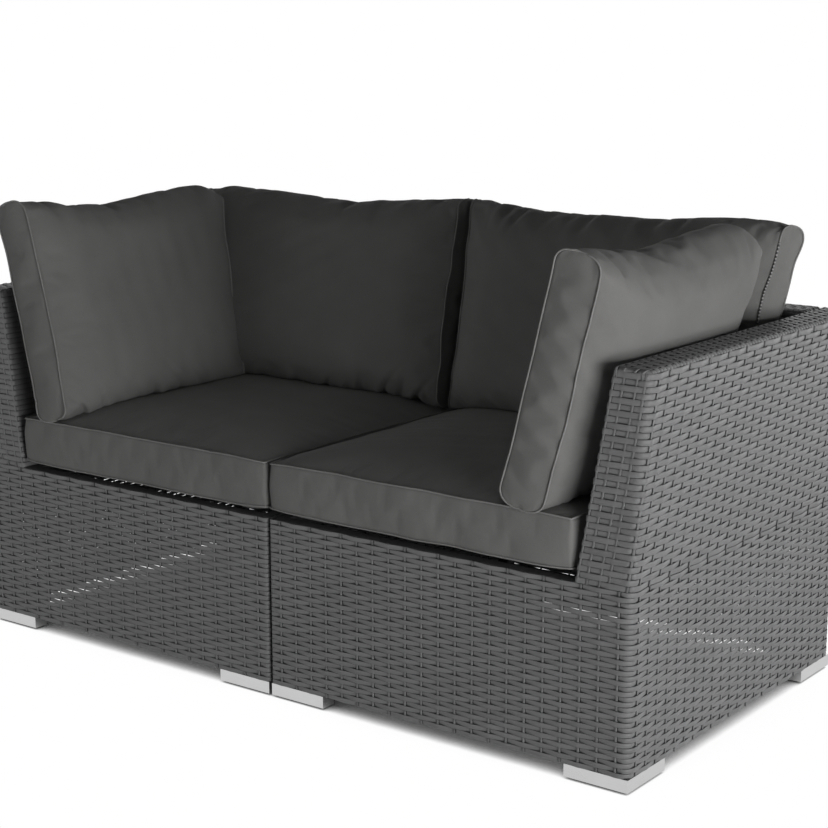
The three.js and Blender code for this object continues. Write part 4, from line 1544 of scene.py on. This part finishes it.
# For each kind of node that stays as it is: its material, that material's colour, roughness and
# metallic share, and how fine its grain is along each axis
METALWORK = {
    "frame": ("coated_tube", "coating", 0.5, 0.0, (400, 400, 400)),
    "deck": ("coated_deck", "coating", 0.55, 0.0, (500, 500, 500)),
    "foot": ("satin_silver", "silver", 0.32, 1.0, (40, 40, 2500)),
    "glide": ("glide_rubber", "rubber", 0.6, 0.0, (900, 900, 900)),
    "clip": ("clip_plastic", "rubber", 0.45, 0.0, (700, 700, 700)),
}

# For each lamp: where it stands, what it faces, and its width and height
LAMPS = {
    "key": ((3.3, -1.5, 0.45), (0, 0, 0.4), (2.0, 1.0)),
    "front": ((-1.8, -3.6, 0.5), (0, 0, 0.3), (2.4, 1.0)),
    "rear": ((-1.5, 3.8, 1.3), (0, 0, 0.4), (2.4, 1.6)),
    "side": ((2.5, 3.4, 0.4), (0.77, 0, 0.35), (2.0, 0.9)),
}

# Half the width of the floor
FLOOR_HALF = 12

# Width of the film that the camera's lens is given for, in millimetres
FILM_WIDTH = 36


class FinishMetalwork(bpy.types.Operator):
    """Give frames, decks, feet, glides and clips their finish"""

    bl_idname = "garden_sofa.finish_metalwork"
    bl_label = "Finish metalwork"

    def execute(self, context):
        finishes = context.scene.sofa_finishes
        made = {}
        for kind, (title, colour, roughness, metallic, grain) in METALWORK.items():
            tint = getattr(finishes, colour)
            made[kind] = metal_finish(title, tint, roughness, metallic, grain)
        for name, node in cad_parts.items():
            kind = name.split("_")[-1]
            if kind in made:
                node.data.materials.clear()
                node.data.materials.append(made[kind])
        return {"FINISHED"}


class SetStage(bpy.types.Operator):
    """Set the floor, the lamps and the camera"""

    bl_idname = "garden_sofa.set_stage"
    bl_label = "Set stage"

    def execute(self, context):
        sizes = context.scene.sofa_stage
        scene = context.scene
        scene.view_settings.view_transform = "Standard"
        half = FLOOR_HALF
        corners = [(-half, -half, 0), (half, -half, 0), (half, half, 0), (-half, half, 0)]
        mesh = bpy.data.meshes.new("floor")
        mesh.from_pydata(corners, [], [(0, 1, 2, 3)])
        mesh.materials.append(floor_finish())
        floor = bpy.data.objects.new("floor", mesh)
        scene.collection.objects.link(floor)
        for name, (place, target, size) in LAMPS.items():
            lamp(f"{name}_lamp", place, target, size, getattr(sizes, f"{name}_power"))
        even_light(scene, sizes.ambient)
        camera = bpy.data.cameras.new("camera")
        camera.lens = sizes.lens
        camera.sensor_width = FILM_WIDTH
        standing = bpy.data.objects.new("camera", camera)
        standing.location = sizes.camera_place
        standing.rotation_euler = sizes.camera_turn
        scene.collection.objects.link(standing)
        scene.camera = standing
        return {"FINISHED"}


def lamp(name, place, target, size, power):
    """A soft rectangular lamp that faces a point."""
    light = bpy.data.lights.new(name, "AREA")
    light.shape = "RECTANGLE"
    light.size, light.size_y = size
    light.energy = power
    made = bpy.data.objects.new(name, light)
    made.location = place
    facing = Vector(target) - Vector(place)
    made.rotation_euler = facing.to_track_quat("-Z", "Y").to_euler()
    bpy.context.scene.collection.objects.link(made)


def seen_directly(tree):
    """1 for what the camera, gloss and glass see, 0 for light that is scattered."""
    rays = add(tree, "ShaderNodeLightPath")
    either = add(tree, "ShaderNodeMath", {
        0: rays.outputs["Is Camera Ray"], 1: rays.outputs["Is Glossy Ray"]}, operation="MAXIMUM")
    return add(tree, "ShaderNodeMath", {
        0: either.outputs[0], 1: rays.outputs["Is Transmission Ray"]},
        operation="MAXIMUM").outputs[0]


def floor_finish():
    """White floor that glows for the camera, with a painted soft shadow close under the sofa."""
    made, tree = new_finish("floor")
    open_sky = add(tree, "ShaderNodeAmbientOcclusion", {"Distance": 1.0}, samples=16)
    # Painted shadow: the glow that the camera sees is lowered where the ambient occlusion finds the
    # sofa close
    shade = add(tree, "ShaderNodeMapRange", {
        "Value": open_sky.outputs["AO"], "From Min": 0.04, "From Max": 0.46})
    white = add(tree, "ShaderNodeEmission", {
        "Color": (1, 1, 1, 1), "Strength": shade.outputs[0]})
    scatter = add(tree, "ShaderNodeBsdfDiffuse", {"Color": (0.7, 0.7, 0.7, 1)})
    mixed = add(tree, "ShaderNodeMixShader", {
        0: seen_directly(tree), 1: scatter.outputs[0], 2: white.outputs[0]})
    add(tree, "ShaderNodeOutputMaterial", {"Surface": mixed.outputs[0]})
    return made


def even_light(scene, strength):
    """World: white where it is seen, weak and even where it lights."""
    world = bpy.data.worlds.new("world")
    world.use_nodes = True
    tree = world.node_tree
    tree.nodes.clear()
    level = add(tree, "ShaderNodeMix", {0: seen_directly(tree), 2: strength, 3: 1.0},
                data_type="FLOAT")
    back = add(tree, "ShaderNodeBackground", {
        "Color": (1, 1, 1, 1), "Strength": level.outputs[0]})
    add(tree, "ShaderNodeOutputWorld", {"Surface": back.outputs[0]})
    scene.world = world


class SofaPanel(bpy.types.Panel):
    """The sofa's steps and its sizes"""

    bl_idname = "VIEW3D_PT_garden_sofa"
    bl_label = "Garden Sofa"
    bl_space_type = "VIEW_3D"
    bl_region_type = "UI"
    bl_category = "Garden Sofa"

    def draw(self, context):
        for step in STEPS:
            self.layout.operator(step.bl_idname)
        for name in GROUPS:
            box = self.layout.box()
            group = getattr(context.scene, name)
            for key in group.__annotations__:
                box.prop(group, key)


STEPS = (WeaveBases, WeaveArmsAndBacks, WeaveTops, SeatCushions, BackCushions, SideCushions,
         FinishMetalwork, SetStage)
GROUPS = {"sofa_weave": WeaveSizes, "sofa_cushions": CushionSizes, "sofa_finishes": Finishes,
          "sofa_stage": StageSizes}


def register():
    """Adds the sofa's sizes, steps and panel to Blender."""
    for made in (*GROUPS.values(), *STEPS, SofaPanel):
        bpy.utils.register_class(made)
    for name, group in GROUPS.items():
        setattr(bpy.types.Scene, name, PointerProperty(type=group))


def unregister():
    """Takes them out again."""
    for name in GROUPS:
        delattr(bpy.types.Scene, name)
    for made in reversed((*GROUPS.values(), *STEPS, SofaPanel)):
        bpy.utils.unregister_class(made)


def main():
    """Makes the whole sofa and its stage."""
    register()
    bpy.ops.garden_sofa.set_stage()
    bpy.ops.garden_sofa.weave_bases()
    bpy.ops.garden_sofa.weave_arms_and_backs()
    bpy.ops.garden_sofa.weave_tops()
    bpy.ops.garden_sofa.seat_cushions()
    bpy.ops.garden_sofa.back_cushions()
    bpy.ops.garden_sofa.side_cushions()
    bpy.ops.garden_sofa.finish_metalwork()


if __name__ == "__main__":
    main()
